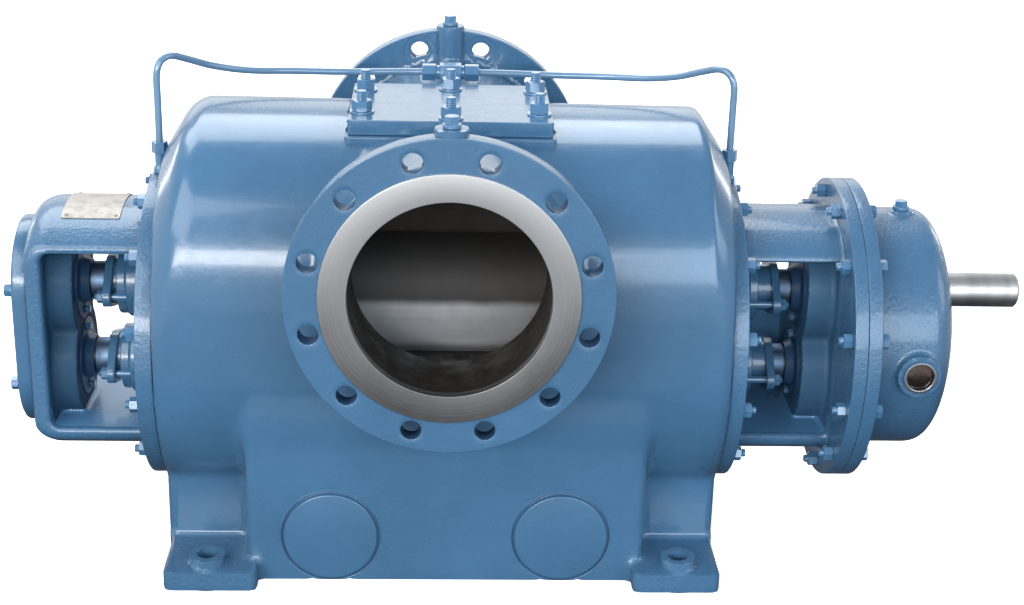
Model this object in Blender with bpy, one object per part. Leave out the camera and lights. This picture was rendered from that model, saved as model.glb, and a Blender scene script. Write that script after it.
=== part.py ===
"""A twin screw pump for a process plant: a cast casing with two side nozzles, a bearing
bracket on each end, a gear cover with a sight glass, and two parallel shafts, one above
the other, of which the upper one comes out to be driven.

Metres, +Z up. The origin lies on the floor under the middle of the two nozzles. The
shafts run along X, with the driven end at +X, and the nozzles face -Y and +Y.
"""

import math

import bmesh
import bpy
from mathutils import Vector

# Clearances
SEAT_GAP = 0.0003
RUN_GAP = 0.0005

# How far fused pieces run into each other, and how far cutters reach past the part
JOIN = 0.002
HOUSING_JOIN = 0.006
OVERRUN = 0.02
CUT_NEAR = 0.3
CUT_FAR = 0.6
FLAT_ANGLE = math.radians(0.02)

# Shaft lines
AXIS_Z = 0.286
SHAFT_SPACING = 0.113
DRIVE_Z = AXIS_Z + SHAFT_SPACING / 2
DRIVEN_Z = AXIS_Z - SHAFT_SPACING / 2
SHAFT_RADIUS = 0.020
SHAFT_END_RADIUS = 0.024
SHAFT_TIP_X = 0.801
SHAFT_CHAMFER = 0.003
SHAFT_STEP_X = 0.575
SHAFT_LOW_X = -0.545
DRIVEN_SHAFT_HIGH_X = 0.560
DRIVEN_POCKET_X = 0.566
SLEEVE_RADIUS = 0.0262
SLEEVE_START_GAP = 0.0037
SLEEVE_END_GAP = 0.0015

# Casing barrel, a body of upright oval section with sloping shoulders
BODY_LEFT_X = -0.380
BODY_RIGHT_X = 0.370
BODY_RADIUS = 0.226
BODY_END_RADIUS = 0.217
BODY_EDGE = 0.020
CROWN_POWER = 2.2
LEFT_CROWN_Z = 0.5975
RIGHT_CROWN_Z = 0.5920
LEFT_SHOULDER_Z = 0.538
RIGHT_SHOULDER_Z = 0.543
LEFT_SHOULDER_RUN = 0.036
RIGHT_SHOULDER_RUN = 0.033
LEFT_SHOULDER_ROUNDING = 0.041
RIGHT_SHOULDER_ROUNDING = 0.014
SHOULDER_STEPS = (0.0, 0.1, 0.4, 1.0)

# Casing base
PANEL_HALF_X = 0.265
PANEL_HALF_Y = 0.2245
PANEL_CORNER = 0.012
PANEL_TOP_Z = 0.296
LEG_LOW_X = -0.3775
LEG_HIGH_X = 0.3685
LEG_HALF_Y = 0.153
LEG_CORNER = 0.008
LEG_TOP_Z = 0.230
LEFT_FOOT_X = (-0.372, -0.249)
RIGHT_FOOT_X = (0.249, 0.366)
FOOT_HALF_Y = 0.2585
FOOT_HEIGHT = 0.028
FOOT_CORNER = 0.006
LEFT_BOLT_X = -0.3155
RIGHT_BOLT_X = 0.311
FOOT_BOLT_Y = 0.2305
FOOT_BOSS_RADIUS = 0.0235
FOOT_BOSS_TOP = 0.042
FOOT_HOLE_RADIUS = 0.0133
ROUND_PAD_X = 0.153
ROUND_PAD_Z = 0.065
ROUND_PAD_RADIUS = 0.0615
ROUND_PAD_PROUD = 0.003

# Nozzles: DN 250 flanges with twelve bolt holes
NOZZLE_Z = 0.436
FLANGE_FACE_Y = 0.3205
FLANGE_THICKNESS = 0.0267
FLANGE_RADIUS = 0.2025
RAISED_FACE_RADIUS = 0.160
RAISED_FACE_HEIGHT = 0.003
NOZZLE_BORE_RADIUS = 0.125
NECK_RADIUS = 0.156
NECK_START_Y = 0.140
NECK_FILLET = 0.006
BOLT_CIRCLE_RADIUS = 0.1775
BOLT_HOLE_COUNT = 12
BOLT_HOLE_RADIUS = 0.013
GAUGE_BOSS_RADIUS = 0.021
GAUGE_BOSS_TOP = 0.6455
GAUGE_BOSS_Y = FLANGE_FACE_Y - FLANGE_THICKNESS + 0.004

# Inside the casing
CHAMBER_HALF_X = 0.200
CHAMBER_RADIUS = 0.205
CHAMBER_CENTRE_Z = 0.291
CHAMBER_LIFT = 0.072
CHAMBER_FLOOR_Z = 0.276
BORE_START_Y = 0.06
DIVIDER_HALF_Y = 0.022
BARREL_RADIUS = 0.085
BARREL_HALF_X = 0.215

# Top cover plate
COVER_HALF_X = 0.1335
COVER_HALF_Y = 0.103
COVER_BOTTOM_Z = 0.5820
COVER_TOP_Z = 0.6020
COVER_CORNER = 0.012
COVER_PAD_MARGIN = 0.004
COVER_CUT_MARGIN = 0.0015

# Bearing brackets
LANTERN_RADIUS = 0.172
LANTERN_CUT_Y = 0.104
LEFT_FLANGE_X = -0.4026
LEFT_FLANGE_RADIUS = 0.2127
LEFT_END_X = -0.562
LEFT_WALL_X = -0.5395
LEFT_HOUSING_X = -0.505
RIGHT_FLANGE_X = 0.3906
RIGHT_FLANGE_RADIUS = 0.2107
RIGHT_END_X = 0.5294
RIGHT_HOUSING_X = 0.4914
RIGHT_PLATE_X = 0.548
RIGHT_PLATE_RADIUS = 0.210
WINDOW_TOP_Z = 0.4142
WINDOW_BOTTOM_Z = 0.1625
WINDOW_CORNER = 0.010
WINDOW_MARGIN = 0.001
LANTERN_COLLAR = 0.004
LEFT_BORE_X = -0.554
RIGHT_REAR_WALL_Y = 0.092
RIGHT_REAR_SILL_Z = 0.300
BRACKET_EDGE_LENGTH = 0.032
BRACKET_EDGE_DEPTH = 0.020
HOUSING_RADIUS = 0.078
CAP_RADIUS = 0.0545
CAP_SEAT_DEPTH = 0.006
CAP_PROUD = 0.0015
CAP_NOSE_ROOT_RADIUS = 0.033
CAP_NOSE_TIP_RADIUS = 0.029
CAP_NOSE_LENGTH = 0.012

# Shaft seals
SEAL_PLATE_RADIUS = 0.150
SEAL_PLATE_THICKNESS = 0.016
BOX_RADIUS = 0.046
LEFT_BOX_LENGTH = 0.072
RIGHT_BOX_LENGTH = 0.058
BOX_ROOT_DEPTH = 0.004
GLAND_NOSE_RADIUS = 0.032
GLAND_NOSE_DEPTH = 0.004
LEFT_GLAND_GAP = 0.0065
RIGHT_GLAND_GAP = 0.0200
GLAND_THICKNESS = 0.011
GLAND_WAIST_RADIUS = 0.036
GLAND_EAR_RADIUS = 0.0135
GLAND_EAR_DISTANCE = 0.045
GLAND_TILT = math.radians(12)

# Outer bearing cover
OUTER_COVER_X = -0.584
OUTER_COVER_RADIUS = 0.090
OUTER_COVER_EDGE = 0.004

# Gear cover
GEAR_RIM_X = 0.5664
GEAR_RIM_RADIUS = 0.210
GEAR_BODY_Z = 0.2895
GEAR_BODY_RADIUS = 0.1662
GEAR_FILLET = 0.005
GEAR_STRAIGHT_X = 0.637
GEAR_END_X = 0.6925
GEAR_DOME_POWER = 3.15
GEAR_DOME_INSET = 0.054
GEAR_DOME_ANGLES = (0, 10, 20, 30, 45, 60, 70, 80)
SIGHT_X = 0.627
SIGHT_Z = 0.282
SIGHT_BOSS_RADIUS = 0.029
SIGHT_ROOT_Y = 0.120
SIGHT_BOSS_Y = 0.1775
SIGHT_RING_RADIUS = 0.0225
SIGHT_RING_BORE = 0.0180
SIGHT_RING_Y = 0.1815
SIGHT_PANE_RADIUS = 0.0185
SIGHT_POCKET_Y = 0.160
SIGHT_PANE_Y = 0.1775
FILLER_X = 0.626
FILLER_BOSS_RADIUS = 0.016
FILLER_ROOT_Z = 0.430
FILLER_BOSS_TOP = 0.4600
FILLER_TOP = 0.4730

# Flushing line
TEE_Y = 0.150
TEE_Z = 0.608
TEE_HALF_WIDTH = 0.020
TEE_BODY_RADIUS = 0.012
TEE_STEM_RADIUS = 0.008
TEE_NUT_RADIUS = 0.0125
TEE_NUT_LENGTH = 0.020
TUBE_RADIUS = 0.0049
FITTING_RADIUS = 0.0095
FITTING_NUT_RADIUS = 0.0110
FITTING_NUT_BOTTOM = 0.526
FITTING_NUT_TOP = 0.542
FITTING_Y = 0.0
LEFT_FITTING_X = -0.3915
RIGHT_FITTING_X = 0.3820
LEFT_TUBE_ROUTE = (
    (-0.070, 0.150, 0.608),
    (-0.150, 0.147, 0.607),
    (-0.220, 0.135, 0.610),
    (-0.280, 0.108, 0.616),
    (-0.325, 0.075, 0.629),
    (-0.355, 0.043, 0.645),
    (-0.374, 0.018, 0.655),
    (-0.386, 0.005, 0.650),
    (-0.3912, 0.000, 0.634),
    (-0.3915, 0.000, 0.600),
    (-0.3915, 0.000, 0.575),
)
RIGHT_TUBE_ROUTE = (
    (0.070, 0.150, 0.608),
    (0.150, 0.147, 0.607),
    (0.220, 0.135, 0.609),
    (0.275, 0.108, 0.614),
    (0.315, 0.075, 0.625),
    (0.345, 0.043, 0.640),
    (0.363, 0.018, 0.649),
    (0.375, 0.005, 0.645),
    (0.3815, 0.000, 0.630),
    (0.3820, 0.000, 0.600),
    (0.3820, 0.000, 0.575),
)

# Hexagon plugs
PLUG_RADIUS = 0.0095
PLUG_COLLAR_RADIUS = 0.0114
PLUG_COLLAR_HEIGHT = 0.005
VENT_TOP = 0.660

# Nameplate on the crown of the left bracket
PLATE_LEFT_X = -0.518
PLATE_RIGHT_X = -0.440
PLATE_HALF_ANGLE = math.radians(19)
PLATE_THICKNESS = 0.0012

# Facets
LARGE_STEPS = 44
MEDIUM_STEPS = 24
SMALL_STEPS = 16
HOLE_STEPS = 12
HEX_STEPS = 6
SHOULDER_PARTS = 4
ROUTE_PARTS = 3


def remove_everything():
    for thing in list(bpy.data.objects):
        bpy.data.objects.remove(thing, do_unlink=True)


def material(name, colour, roughness, metallic):
    finish = bpy.data.materials.new(name)
    finish.use_nodes = True
    shader = finish.node_tree.nodes["Principled BSDF"]
    shader.inputs["Base Color"].default_value = (*colour, 1.0)
    shader.inputs["Roughness"].default_value = roughness
    shader.inputs["Metallic"].default_value = metallic
    finish.diffuse_color = (*colour, 1.0)
    return finish


def finish_object(name, mesh, finish):
    """Turn a bmesh into a named object with outward faces and smooth round sides."""
    bmesh.ops.remove_doubles(mesh, verts=mesh.verts, dist=1e-6)
    bmesh.ops.recalc_face_normals(mesh, faces=mesh.faces)
    data = bpy.data.meshes.new(name)
    mesh.to_mesh(data)
    mesh.free()
    data.shade_smooth()
    data.set_sharp_from_angle(angle=math.radians(30))
    if finish:
        data.materials.append(finish)
    thing = bpy.data.objects.new(name, data)
    bpy.context.collection.objects.link(thing)
    return thing


def turned(name, profile, centre, axis, steps, finish=None):
    """Spin a profile of (distance along the axis, radius) points about the axis.

    A profile that starts and ends on the axis gives a solid, and a closed one whose
    radii are all above zero gives a ring.
    """
    along = Vector(axis)
    across = Vector((0.0, 0.0, 1.0)) if abs(along.z) < 0.5 else Vector((1.0, 0.0, 0.0))
    mesh = bmesh.new()
    points = [mesh.verts.new(Vector(centre) + along * x + across * r) for x, r in profile]
    edges = [mesh.edges.new(pair) for pair in zip(points, points[1:])]
    if profile[0][1] > 0.0 and profile[-1][1] > 0.0:
        edges.append(mesh.edges.new((points[-1], points[0])))
    bmesh.ops.spin(
        mesh,
        geom=points + edges,
        cent=centre,
        axis=along,
        angle=math.tau,
        steps=steps,
        use_merge=True,
    )
    bmesh.ops.dissolve_degenerate(mesh, dist=1e-6, edges=mesh.edges)
    return finish_object(name, mesh, finish)


def rod(name, centre, axis, low, high, radius, steps, finish=None):
    profile = ((low, 0.0), (low, radius), (high, radius), (high, 0.0))
    return turned(name, profile, centre, axis, steps, finish)


def tube_ring(name, centre, axis, low, high, outer, inner, steps, finish=None):
    profile = ((low, inner), (low, outer), (high, outer), (high, inner))
    return turned(name, profile, centre, axis, steps, finish)


def extruded(name, outline, axis, low, high, finish=None):
    """Extrude a closed outline from low to high along an axis.

    The outline's two numbers are Y and Z along X, X and Z along Y, and X and Y along Z.
    """
    place = {
        "X": lambda u, v: Vector((low, u, v)),
        "Y": lambda u, v: Vector((u, low, v)),
        "Z": lambda u, v: Vector((u, v, low)),
    }[axis]
    shift = {"X": Vector((1, 0, 0)), "Y": Vector((0, 1, 0)), "Z": Vector((0, 0, 1))}[axis]
    mesh = bmesh.new()
    face = mesh.faces.new([mesh.verts.new(place(u, v)) for u, v in outline])
    grown = bmesh.ops.extrude_face_region(mesh, geom=[face])
    tops = [item for item in grown["geom"] if isinstance(item, bmesh.types.BMVert)]
    bmesh.ops.translate(mesh, verts=tops, vec=shift * (high - low))
    return finish_object(name, mesh, finish)


def block(name, low, high, finish=None):
    outline = ((low[0], low[1]), (high[0], low[1]), (high[0], high[1]), (low[0], high[1]))
    return extruded(name, outline, "Z", low[2], high[2], finish)


def arc(centre_u, centre_v, radius, start, end, steps):
    """Points on an arc from one angle to another, both ends included, in degrees."""
    angles = [math.radians(start + (end - start) * i / steps) for i in range(steps + 1)]
    return [(centre_u + radius * math.cos(a), centre_v + radius * math.sin(a)) for a in angles]


def rounded_box(low_u, low_v, high_u, high_v, radius, steps=4):
    """A rectangle whose corners are quarter circles."""
    return (
        arc(high_u - radius, high_v - radius, radius, 0, 90, steps)
        + arc(low_u + radius, high_v - radius, radius, 90, 180, steps)
        + arc(low_u + radius, low_v + radius, radius, 180, 270, steps)
        + arc(high_u - radius, low_v + radius, radius, 270, 360, steps)
    )


def oval(centre_z, lift, radius, steps, power=2.0):
    """An upright oval: a half circle below and, raised by the lift, a half superellipse.

    A power of 2 makes the upper half a half circle too, and a higher one flattens it.
    """
    upper = []
    for across, up in arc(0.0, 0.0, 1.0, 0, 180, steps // 2):
        reach = radius * (abs(across) ** power + abs(up) ** power) ** (-1 / power)
        upper.append((reach * across, centre_z + lift + reach * up))
    lower = arc(0.0, centre_z, radius, 180, 360, steps // 2)
    return upper + lower


def loft(name, rings, finish=None):
    """Bridge closed rings of points, one after another, and cap both ends."""
    mesh = bmesh.new()
    loops = [[mesh.verts.new(point) for point in ring] for ring in rings]
    count = len(loops[0])
    for first, second in zip(loops, loops[1:]):
        for i in range(count):
            j = (i + 1) % count
            mesh.faces.new((first[i], first[j], second[j], second[i]))
    mesh.faces.new(loops[0])
    mesh.faces.new(loops[-1])
    return finish_object(name, mesh, finish)


def combine(base, additions=(), cuts=()):
    """Union the additions into the base and take the cuts away, then drop the tools."""
    steps = [(tool, "UNION") for tool in additions] + [(tool, "DIFFERENCE") for tool in cuts]
    for tool, operation in steps:
        change = base.modifiers.new(tool.name, "BOOLEAN")
        change.operation = operation
        change.solver = "EXACT"
        change.object = tool
        replace_mesh(base)
    for tool, _ in steps:
        bpy.data.objects.remove(tool, do_unlink=True)
    base.data.shade_smooth()
    base.data.set_sharp_from_angle(angle=math.radians(30))
    return base


def replace_mesh(thing):
    """Apply an object's modifiers, then merge what is flat and cut it into triangles."""
    graph = bpy.context.evaluated_depsgraph_get()
    finished = bpy.data.meshes.new_from_object(thing.evaluated_get(graph))
    thing.modifiers.clear()
    mesh = bmesh.new()
    mesh.from_mesh(finished)
    bmesh.ops.remove_doubles(mesh, verts=mesh.verts, dist=1e-5)
    bmesh.ops.dissolve_limit(
        mesh,
        angle_limit=FLAT_ANGLE,
        verts=mesh.verts,
        edges=mesh.edges,
    )
    bmesh.ops.triangulate(mesh, faces=mesh.faces)
    mesh.to_mesh(thing.data)
    mesh.free()
    bpy.data.meshes.remove(finished)


def shoulder(end_top, crown, run, rounding):
    """Points (inset from the end face, height of the crown) of a slope with a round top."""
    slope = math.atan2(crown - end_top, run)
    reach = rounding * math.tan(slope / 2)
    length = math.hypot(run, crown - end_top)
    points = []
    for part in SHOULDER_STEPS:
        along = part * (length - reach) / length
        points.append((along * run, end_top + along * (crown - end_top)))
    for i in range(1, SHOULDER_PARTS + 1):
        angle = slope * (1 - i / SHOULDER_PARTS)
        points.append(
            (run + reach - rounding * math.sin(angle), crown - rounding + rounding * math.cos(angle))
        )
    return points


def body_ring(x, inset, top):
    """One section of the casing's body, smaller close to the end face."""
    closeness = max(0.0, 1 - inset / BODY_EDGE)
    radius = BODY_RADIUS - (BODY_RADIUS - BODY_END_RADIUS) * closeness ** 2
    outline = oval(AXIS_Z, top - AXIS_Z - radius, radius, LARGE_STEPS, CROWN_POWER)
    return [(x, y, z) for y, z in outline]


def casing_barrel():
    """The casing's oval body, with shoulders that slope down to both end faces."""
    left = shoulder(LEFT_SHOULDER_Z, LEFT_CROWN_Z, LEFT_SHOULDER_RUN, LEFT_SHOULDER_ROUNDING)
    right = shoulder(RIGHT_SHOULDER_Z, RIGHT_CROWN_Z, RIGHT_SHOULDER_RUN, RIGHT_SHOULDER_ROUNDING)
    rings = [body_ring(BODY_LEFT_X + inset, inset, top) for inset, top in left]
    rings += [body_ring(BODY_RIGHT_X - inset, inset, top) for inset, top in reversed(right)]
    return loft("pump_casing", rings)


def casing_base_parts():
    """The centre panel, the legs, both foot rails with their bosses and the round pads."""
    parts = [
        extruded(
            "panel",
            rounded_box(-PANEL_HALF_X, -PANEL_HALF_Y, PANEL_HALF_X, PANEL_HALF_Y, PANEL_CORNER),
            "Z",
            0.0,
            PANEL_TOP_Z,
        ),
        extruded(
            "legs",
            rounded_box(LEG_LOW_X, -LEG_HALF_Y, LEG_HIGH_X, LEG_HALF_Y, LEG_CORNER),
            "Z",
            0.0,
            LEG_TOP_Z,
        ),
    ]
    for low, high in (LEFT_FOOT_X, RIGHT_FOOT_X):
        outline = rounded_box(low, -FOOT_HALF_Y, high, FOOT_HALF_Y, FOOT_CORNER)
        parts.append(extruded("foot", outline, "Z", 0.0, FOOT_HEIGHT))
    for centre in bolt_places():
        boss = rod("boss", centre, (0, 0, 1), FOOT_HEIGHT / 2, FOOT_BOSS_TOP, FOOT_BOSS_RADIUS,
                   SMALL_STEPS)
        parts.append(boss)
    root = PANEL_HALF_Y - OVERRUN
    reach = PANEL_HALF_Y + ROUND_PAD_PROUD
    for side in (-1, 1):
        for front in (-1, 1):
            centre = (side * ROUND_PAD_X, 0.0, ROUND_PAD_Z)
            pad = rod("pad", centre, (0, front, 0), root, reach, ROUND_PAD_RADIUS, MEDIUM_STEPS)
            parts.append(pad)
    return parts


def bolt_places():
    """The four anchor bolts' places on the floor."""
    return [
        (x, front * FOOT_BOLT_Y, 0.0) for x in (LEFT_BOLT_X, RIGHT_BOLT_X) for front in (-1, 1)
    ]


def nozzle_parts(front):
    """One nozzle: neck, flange with raised face, and the gauge boss behind the flange."""
    centre = (0.0, 0.0, NOZZLE_Z)
    back = FLANGE_FACE_Y - FLANGE_THICKNESS
    profile = (
        (NECK_START_Y, 0.0),
        (NECK_START_Y, NECK_RADIUS),
        (back - NECK_FILLET, NECK_RADIUS),
        (back, NECK_RADIUS + NECK_FILLET),
        (back, FLANGE_RADIUS),
        (FLANGE_FACE_Y, FLANGE_RADIUS),
        (FLANGE_FACE_Y, RAISED_FACE_RADIUS),
        (FLANGE_FACE_Y + RAISED_FACE_HEIGHT, RAISED_FACE_RADIUS),
        (FLANGE_FACE_Y + RAISED_FACE_HEIGHT, 0.0),
    )
    flange = turned("flange", profile, centre, (0, front, 0), LARGE_STEPS)
    boss_centre = (0.0, front * GAUGE_BOSS_Y, 0.0)
    boss = rod(
        "boss",
        boss_centre,
        (0, 0, 1),
        NOZZLE_Z + NECK_RADIUS - OVERRUN,
        GAUGE_BOSS_TOP,
        GAUGE_BOSS_RADIUS,
        SMALL_STEPS,
    )
    return [flange, boss]


def nozzle_cuts(front):
    """One nozzle's bore and its ring of bolt holes."""
    cuts = [
        rod(
            "bore",
            (0.0, 0.0, NOZZLE_Z),
            (0, front, 0),
            BORE_START_Y,
            FLANGE_FACE_Y + OVERRUN,
            NOZZLE_BORE_RADIUS,
            LARGE_STEPS,
        )
    ]
    for i in range(BOLT_HOLE_COUNT):
        angle = math.tau * (i + 0.5) / BOLT_HOLE_COUNT
        x = BOLT_CIRCLE_RADIUS * math.cos(angle)
        z = NOZZLE_Z + BOLT_CIRCLE_RADIUS * math.sin(angle)
        low = FLANGE_FACE_Y - FLANGE_THICKNESS - OVERRUN
        cuts.append(
            rod(
                "hole",
                (x, 0.0, z),
                (0, front, 0),
                low,
                FLANGE_FACE_Y + OVERRUN,
                BOLT_HOLE_RADIUS,
                HOLE_STEPS,
            )
        )
    return cuts


def lobes(name, low, high, radius, steps, finish=None):
    """A figure of eight along X: one disc about each shaft line, fused."""
    spread = math.degrees(math.acos(SHAFT_SPACING / 2 / radius))
    half = steps // 2
    outline = arc(0.0, DRIVE_Z, radius, spread - 90, 270 - spread, half)
    outline += arc(0.0, DRIVEN_Z, radius, 90 + spread, 450 - spread, half)
    return extruded(name, outline, "X", low, high, finish)


def shaft_cuts(low, high, radius):
    return [
        rod("bore", (0.0, 0.0, z), (1, 0, 0), low, high, radius, SMALL_STEPS)
        for z in (DRIVE_Z, DRIVEN_Z)
    ]


def chamber_cut(front):
    """One fluid chamber: a half oval above its floor, on its side of the dividing wall."""
    outline = oval(CHAMBER_CENTRE_Z, CHAMBER_LIFT, CHAMBER_RADIUS, LARGE_STEPS)
    chamber = extruded("chamber", outline, "X", -CHAMBER_HALF_X, CHAMBER_HALF_X)
    reach = CHAMBER_HALF_X + OVERRUN
    low_y, high_y = sorted((front * DIVIDER_HALF_Y, -front * CUT_NEAR))
    other_half = block("other_half", (-reach, low_y, 0.0), (reach, high_y, CUT_FAR))
    ground = block("ground", (-reach, -CUT_NEAR, 0.0), (reach, CUT_NEAR, CHAMBER_FLOOR_Z))
    return combine(chamber, cuts=[other_half, ground])


def pump_casing(finish):
    """The casing, one casting: body, base, feet, nozzles and the pad for the top cover."""
    casing = casing_barrel()
    pad_outline, cut_outline = (
        rounded_box(
            -COVER_HALF_X - margin,
            -COVER_HALF_Y - margin,
            COVER_HALF_X + margin,
            COVER_HALF_Y + margin,
            COVER_CORNER,
        )
        for margin in (COVER_PAD_MARGIN, COVER_CUT_MARGIN)
    )
    pad_top = COVER_BOTTOM_Z - SEAT_GAP
    additions = casing_base_parts() + [extruded("pad", pad_outline, "Z", 0.50, pad_top)]
    for front in (-1, 1):
        additions += nozzle_parts(front)
    combine(casing, additions)
    cuts = [extruded("pad_top", cut_outline, "Z", pad_top, COVER_TOP_Z + OVERRUN)]
    for front in (-1, 1):
        cuts.append(chamber_cut(front))
        cuts += nozzle_cuts(front)
    seat = oval(DRIVEN_Z, SHAFT_SPACING, BARREL_RADIUS + SEAT_GAP, LARGE_STEPS)
    reach = BARREL_HALF_X + SEAT_GAP
    cuts.append(extruded("barrel_seat", seat, "X", -reach, reach))
    cuts += shaft_cuts(BODY_LEFT_X - OVERRUN, BODY_RIGHT_X + OVERRUN, SHAFT_RADIUS + RUN_GAP)
    for centre in bolt_places():
        hole_top = FOOT_BOSS_TOP + OVERRUN
        hole = rod("hole", centre, (0, 0, 1), -OVERRUN, hole_top, FOOT_HOLE_RADIUS, HOLE_STEPS)
        cuts.append(hole)
    combine(casing, cuts=cuts)
    casing.data.materials.clear()
    casing.data.materials.append(finish)


def screw_barrel(finish):
    """The upright oval liner that the screws run in, seen through the nozzles."""
    outline = oval(DRIVEN_Z, SHAFT_SPACING, BARREL_RADIUS, LARGE_STEPS)
    barrel = extruded("screw_barrel", outline, "X", -BARREL_HALF_X, BARREL_HALF_X, finish)
    reach = BARREL_HALF_X + OVERRUN
    combine(barrel, cuts=shaft_cuts(-reach, reach, SHAFT_RADIUS + RUN_GAP))


def top_cover(finish):
    outline = rounded_box(-COVER_HALF_X, -COVER_HALF_Y, COVER_HALF_X, COVER_HALF_Y, COVER_CORNER)
    extruded("top_cover", outline, "Z", COVER_BOTTOM_Z, COVER_TOP_Z, finish)


def body_face(side):
    """How far the casing's end face is from the middle, on the side asked for."""
    return abs(BODY_LEFT_X if side < 0 else BODY_RIGHT_X)


def box_face(side):
    """How far the stuffing boxes' outer faces are from the middle."""
    return body_face(side) + SEAT_GAP + (LEFT_BOX_LENGTH if side < 0 else RIGHT_BOX_LENGTH)


def housing_face(side):
    """How far the inner faces of the bearing housings are from the middle."""
    return abs(LEFT_HOUSING_X if side < 0 else RIGHT_HOUSING_X)


def seal_cover(side, finish):
    """The plate inside a bracket's flange, with a stuffing box round each shaft."""
    name = "seal_cover_left" if side < 0 else "seal_cover_right"
    start = body_face(side) + SEAT_GAP
    plate = rod(
        name,
        (0.0, 0.0, AXIS_Z),
        (side, 0, 0),
        start,
        start + SEAL_PLATE_THICKNESS,
        SEAL_PLATE_RADIUS - SEAT_GAP,
        LARGE_STEPS,
        finish,
    )
    boxes = [
        rod("box", (0, 0, z), (side, 0, 0), start + BOX_ROOT_DEPTH, box_face(side),
            BOX_RADIUS, MEDIUM_STEPS)
        for z in (DRIVE_Z, DRIVEN_Z)
    ]
    bores = [
        rod("bore", (0, 0, z), (side, 0, 0), CUT_NEAR, CUT_FAR, SHAFT_RADIUS + RUN_GAP, SMALL_STEPS)
        for z in (DRIVE_Z, DRIVEN_Z)
    ]
    combine(plate, boxes, bores)


def window_cut(low, high, sill=WINDOW_BOTTOM_Z, back=CUT_NEAR):
    """A window in a lantern: a box with rounded corners, from the front to the back."""
    outline = rounded_box(low, sill, high, WINDOW_TOP_Z, WINDOW_CORNER)
    return extruded("window", outline, "Y", -CUT_NEAR, back)


def side_cuts(low, high):
    """Slabs that flatten the lantern's front and back."""
    return [
        block("side", (low, -CUT_NEAR, 0.0), (high, -LANTERN_CUT_Y, CUT_FAR)),
        block("side", (low, LANTERN_CUT_Y, 0.0), (high, CUT_NEAR, CUT_FAR)),
    ]


def cap_seats(side):
    """The two shallow seats in a bearing housing's inner face that hold the caps."""
    face = housing_face(side)
    return [
        rod("seat", (0, 0, z), (side, 0, 0), face - OVERRUN, face + CAP_SEAT_DEPTH,
            CAP_RADIUS + SEAT_GAP, MEDIUM_STEPS)
        for z in (DRIVE_Z, DRIVEN_Z)
    ]


def bearing_bracket_left(finish):
    """The non-drive bracket: flange, open lantern, end wall and inner bearing housing."""
    centre = (0.0, 0.0, AXIS_Z)
    root = BODY_LEFT_X - SEAT_GAP
    edge = [
        (LEFT_END_X + BRACKET_EDGE_LENGTH * (1 - math.cos(a)),
         LANTERN_RADIUS - BRACKET_EDGE_DEPTH * (1 - math.sin(a)))
        for a in [math.radians(18 * i) for i in range(6)]
    ]
    inner = (root + LEFT_FLANGE_X) / 2
    profile = [(LEFT_END_X, 0.0)] + edge + [(inner, LANTERN_RADIUS), (inner, 0.0)]
    lantern = turned("bearing_bracket_left", profile, centre, (1, 0, 0), LARGE_STEPS, finish)
    combine(lantern, cuts=side_cuts(-CUT_FAR, LEFT_FLANGE_X - LANTERN_COLLAR))
    combine(lantern, cuts=[window_cut(LEFT_WALL_X, LEFT_FLANGE_X - WINDOW_MARGIN)])
    flange = rod("flange", centre, (1, 0, 0), LEFT_FLANGE_X, root, LEFT_FLANGE_RADIUS, LARGE_STEPS)
    housing = lobes("housing", LEFT_WALL_X - HOUSING_JOIN, LEFT_HOUSING_X, HOUSING_RADIUS,
                    MEDIUM_STEPS)
    combine(lantern, [flange, housing])
    register = rod("register", centre, (1, 0, 0), LEFT_FLANGE_X - JOIN, root + OVERRUN,
                   SEAL_PLATE_RADIUS, LARGE_STEPS)
    combine(lantern, cuts=[register] + cap_seats(-1))
    combine(lantern, cuts=shaft_cuts(LEFT_BORE_X, root + OVERRUN, SHAFT_RADIUS + RUN_GAP))


def bearing_bracket_right(finish):
    """The drive-end bracket: flange, open lantern, inner housing and the end plate."""
    centre = (0.0, 0.0, AXIS_Z)
    root = BODY_RIGHT_X + SEAT_GAP
    inner = (root + RIGHT_FLANGE_X) / 2
    outer = (RIGHT_END_X + RIGHT_PLATE_X) / 2
    profile = ((inner, 0.0), (inner, LANTERN_RADIUS), (outer, LANTERN_RADIUS), (outer, 0.0))
    lantern = turned("bearing_bracket_right", profile, centre, (1, 0, 0), LARGE_STEPS, finish)
    combine(lantern, cuts=side_cuts(RIGHT_FLANGE_X + LANTERN_COLLAR, CUT_FAR))
    low = RIGHT_FLANGE_X + WINDOW_MARGIN
    high = RIGHT_END_X - JOIN
    combine(lantern, cuts=[window_cut(low, high, back=RIGHT_REAR_WALL_Y)])
    combine(lantern, cuts=[window_cut(low, high, sill=RIGHT_REAR_SILL_Z)])
    flange = rod("flange", centre, (1, 0, 0), root, RIGHT_FLANGE_X, RIGHT_FLANGE_RADIUS, LARGE_STEPS)
    plate = rod(
        "plate", centre, (1, 0, 0), RIGHT_END_X, RIGHT_PLATE_X - SEAT_GAP, RIGHT_PLATE_RADIUS,
        LARGE_STEPS,
    )
    housing = lobes("housing", RIGHT_HOUSING_X, RIGHT_END_X + HOUSING_JOIN, HOUSING_RADIUS,
                    MEDIUM_STEPS)
    combine(lantern, [flange, plate, housing])
    register = rod("register", centre, (1, 0, 0), root - OVERRUN, RIGHT_FLANGE_X + JOIN,
                   SEAL_PLATE_RADIUS, LARGE_STEPS)
    combine(lantern, cuts=[register] + cap_seats(1))
    combine(lantern, cuts=shaft_cuts(root - OVERRUN, RIGHT_PLATE_X + OVERRUN, SHAFT_RADIUS + RUN_GAP))


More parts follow.
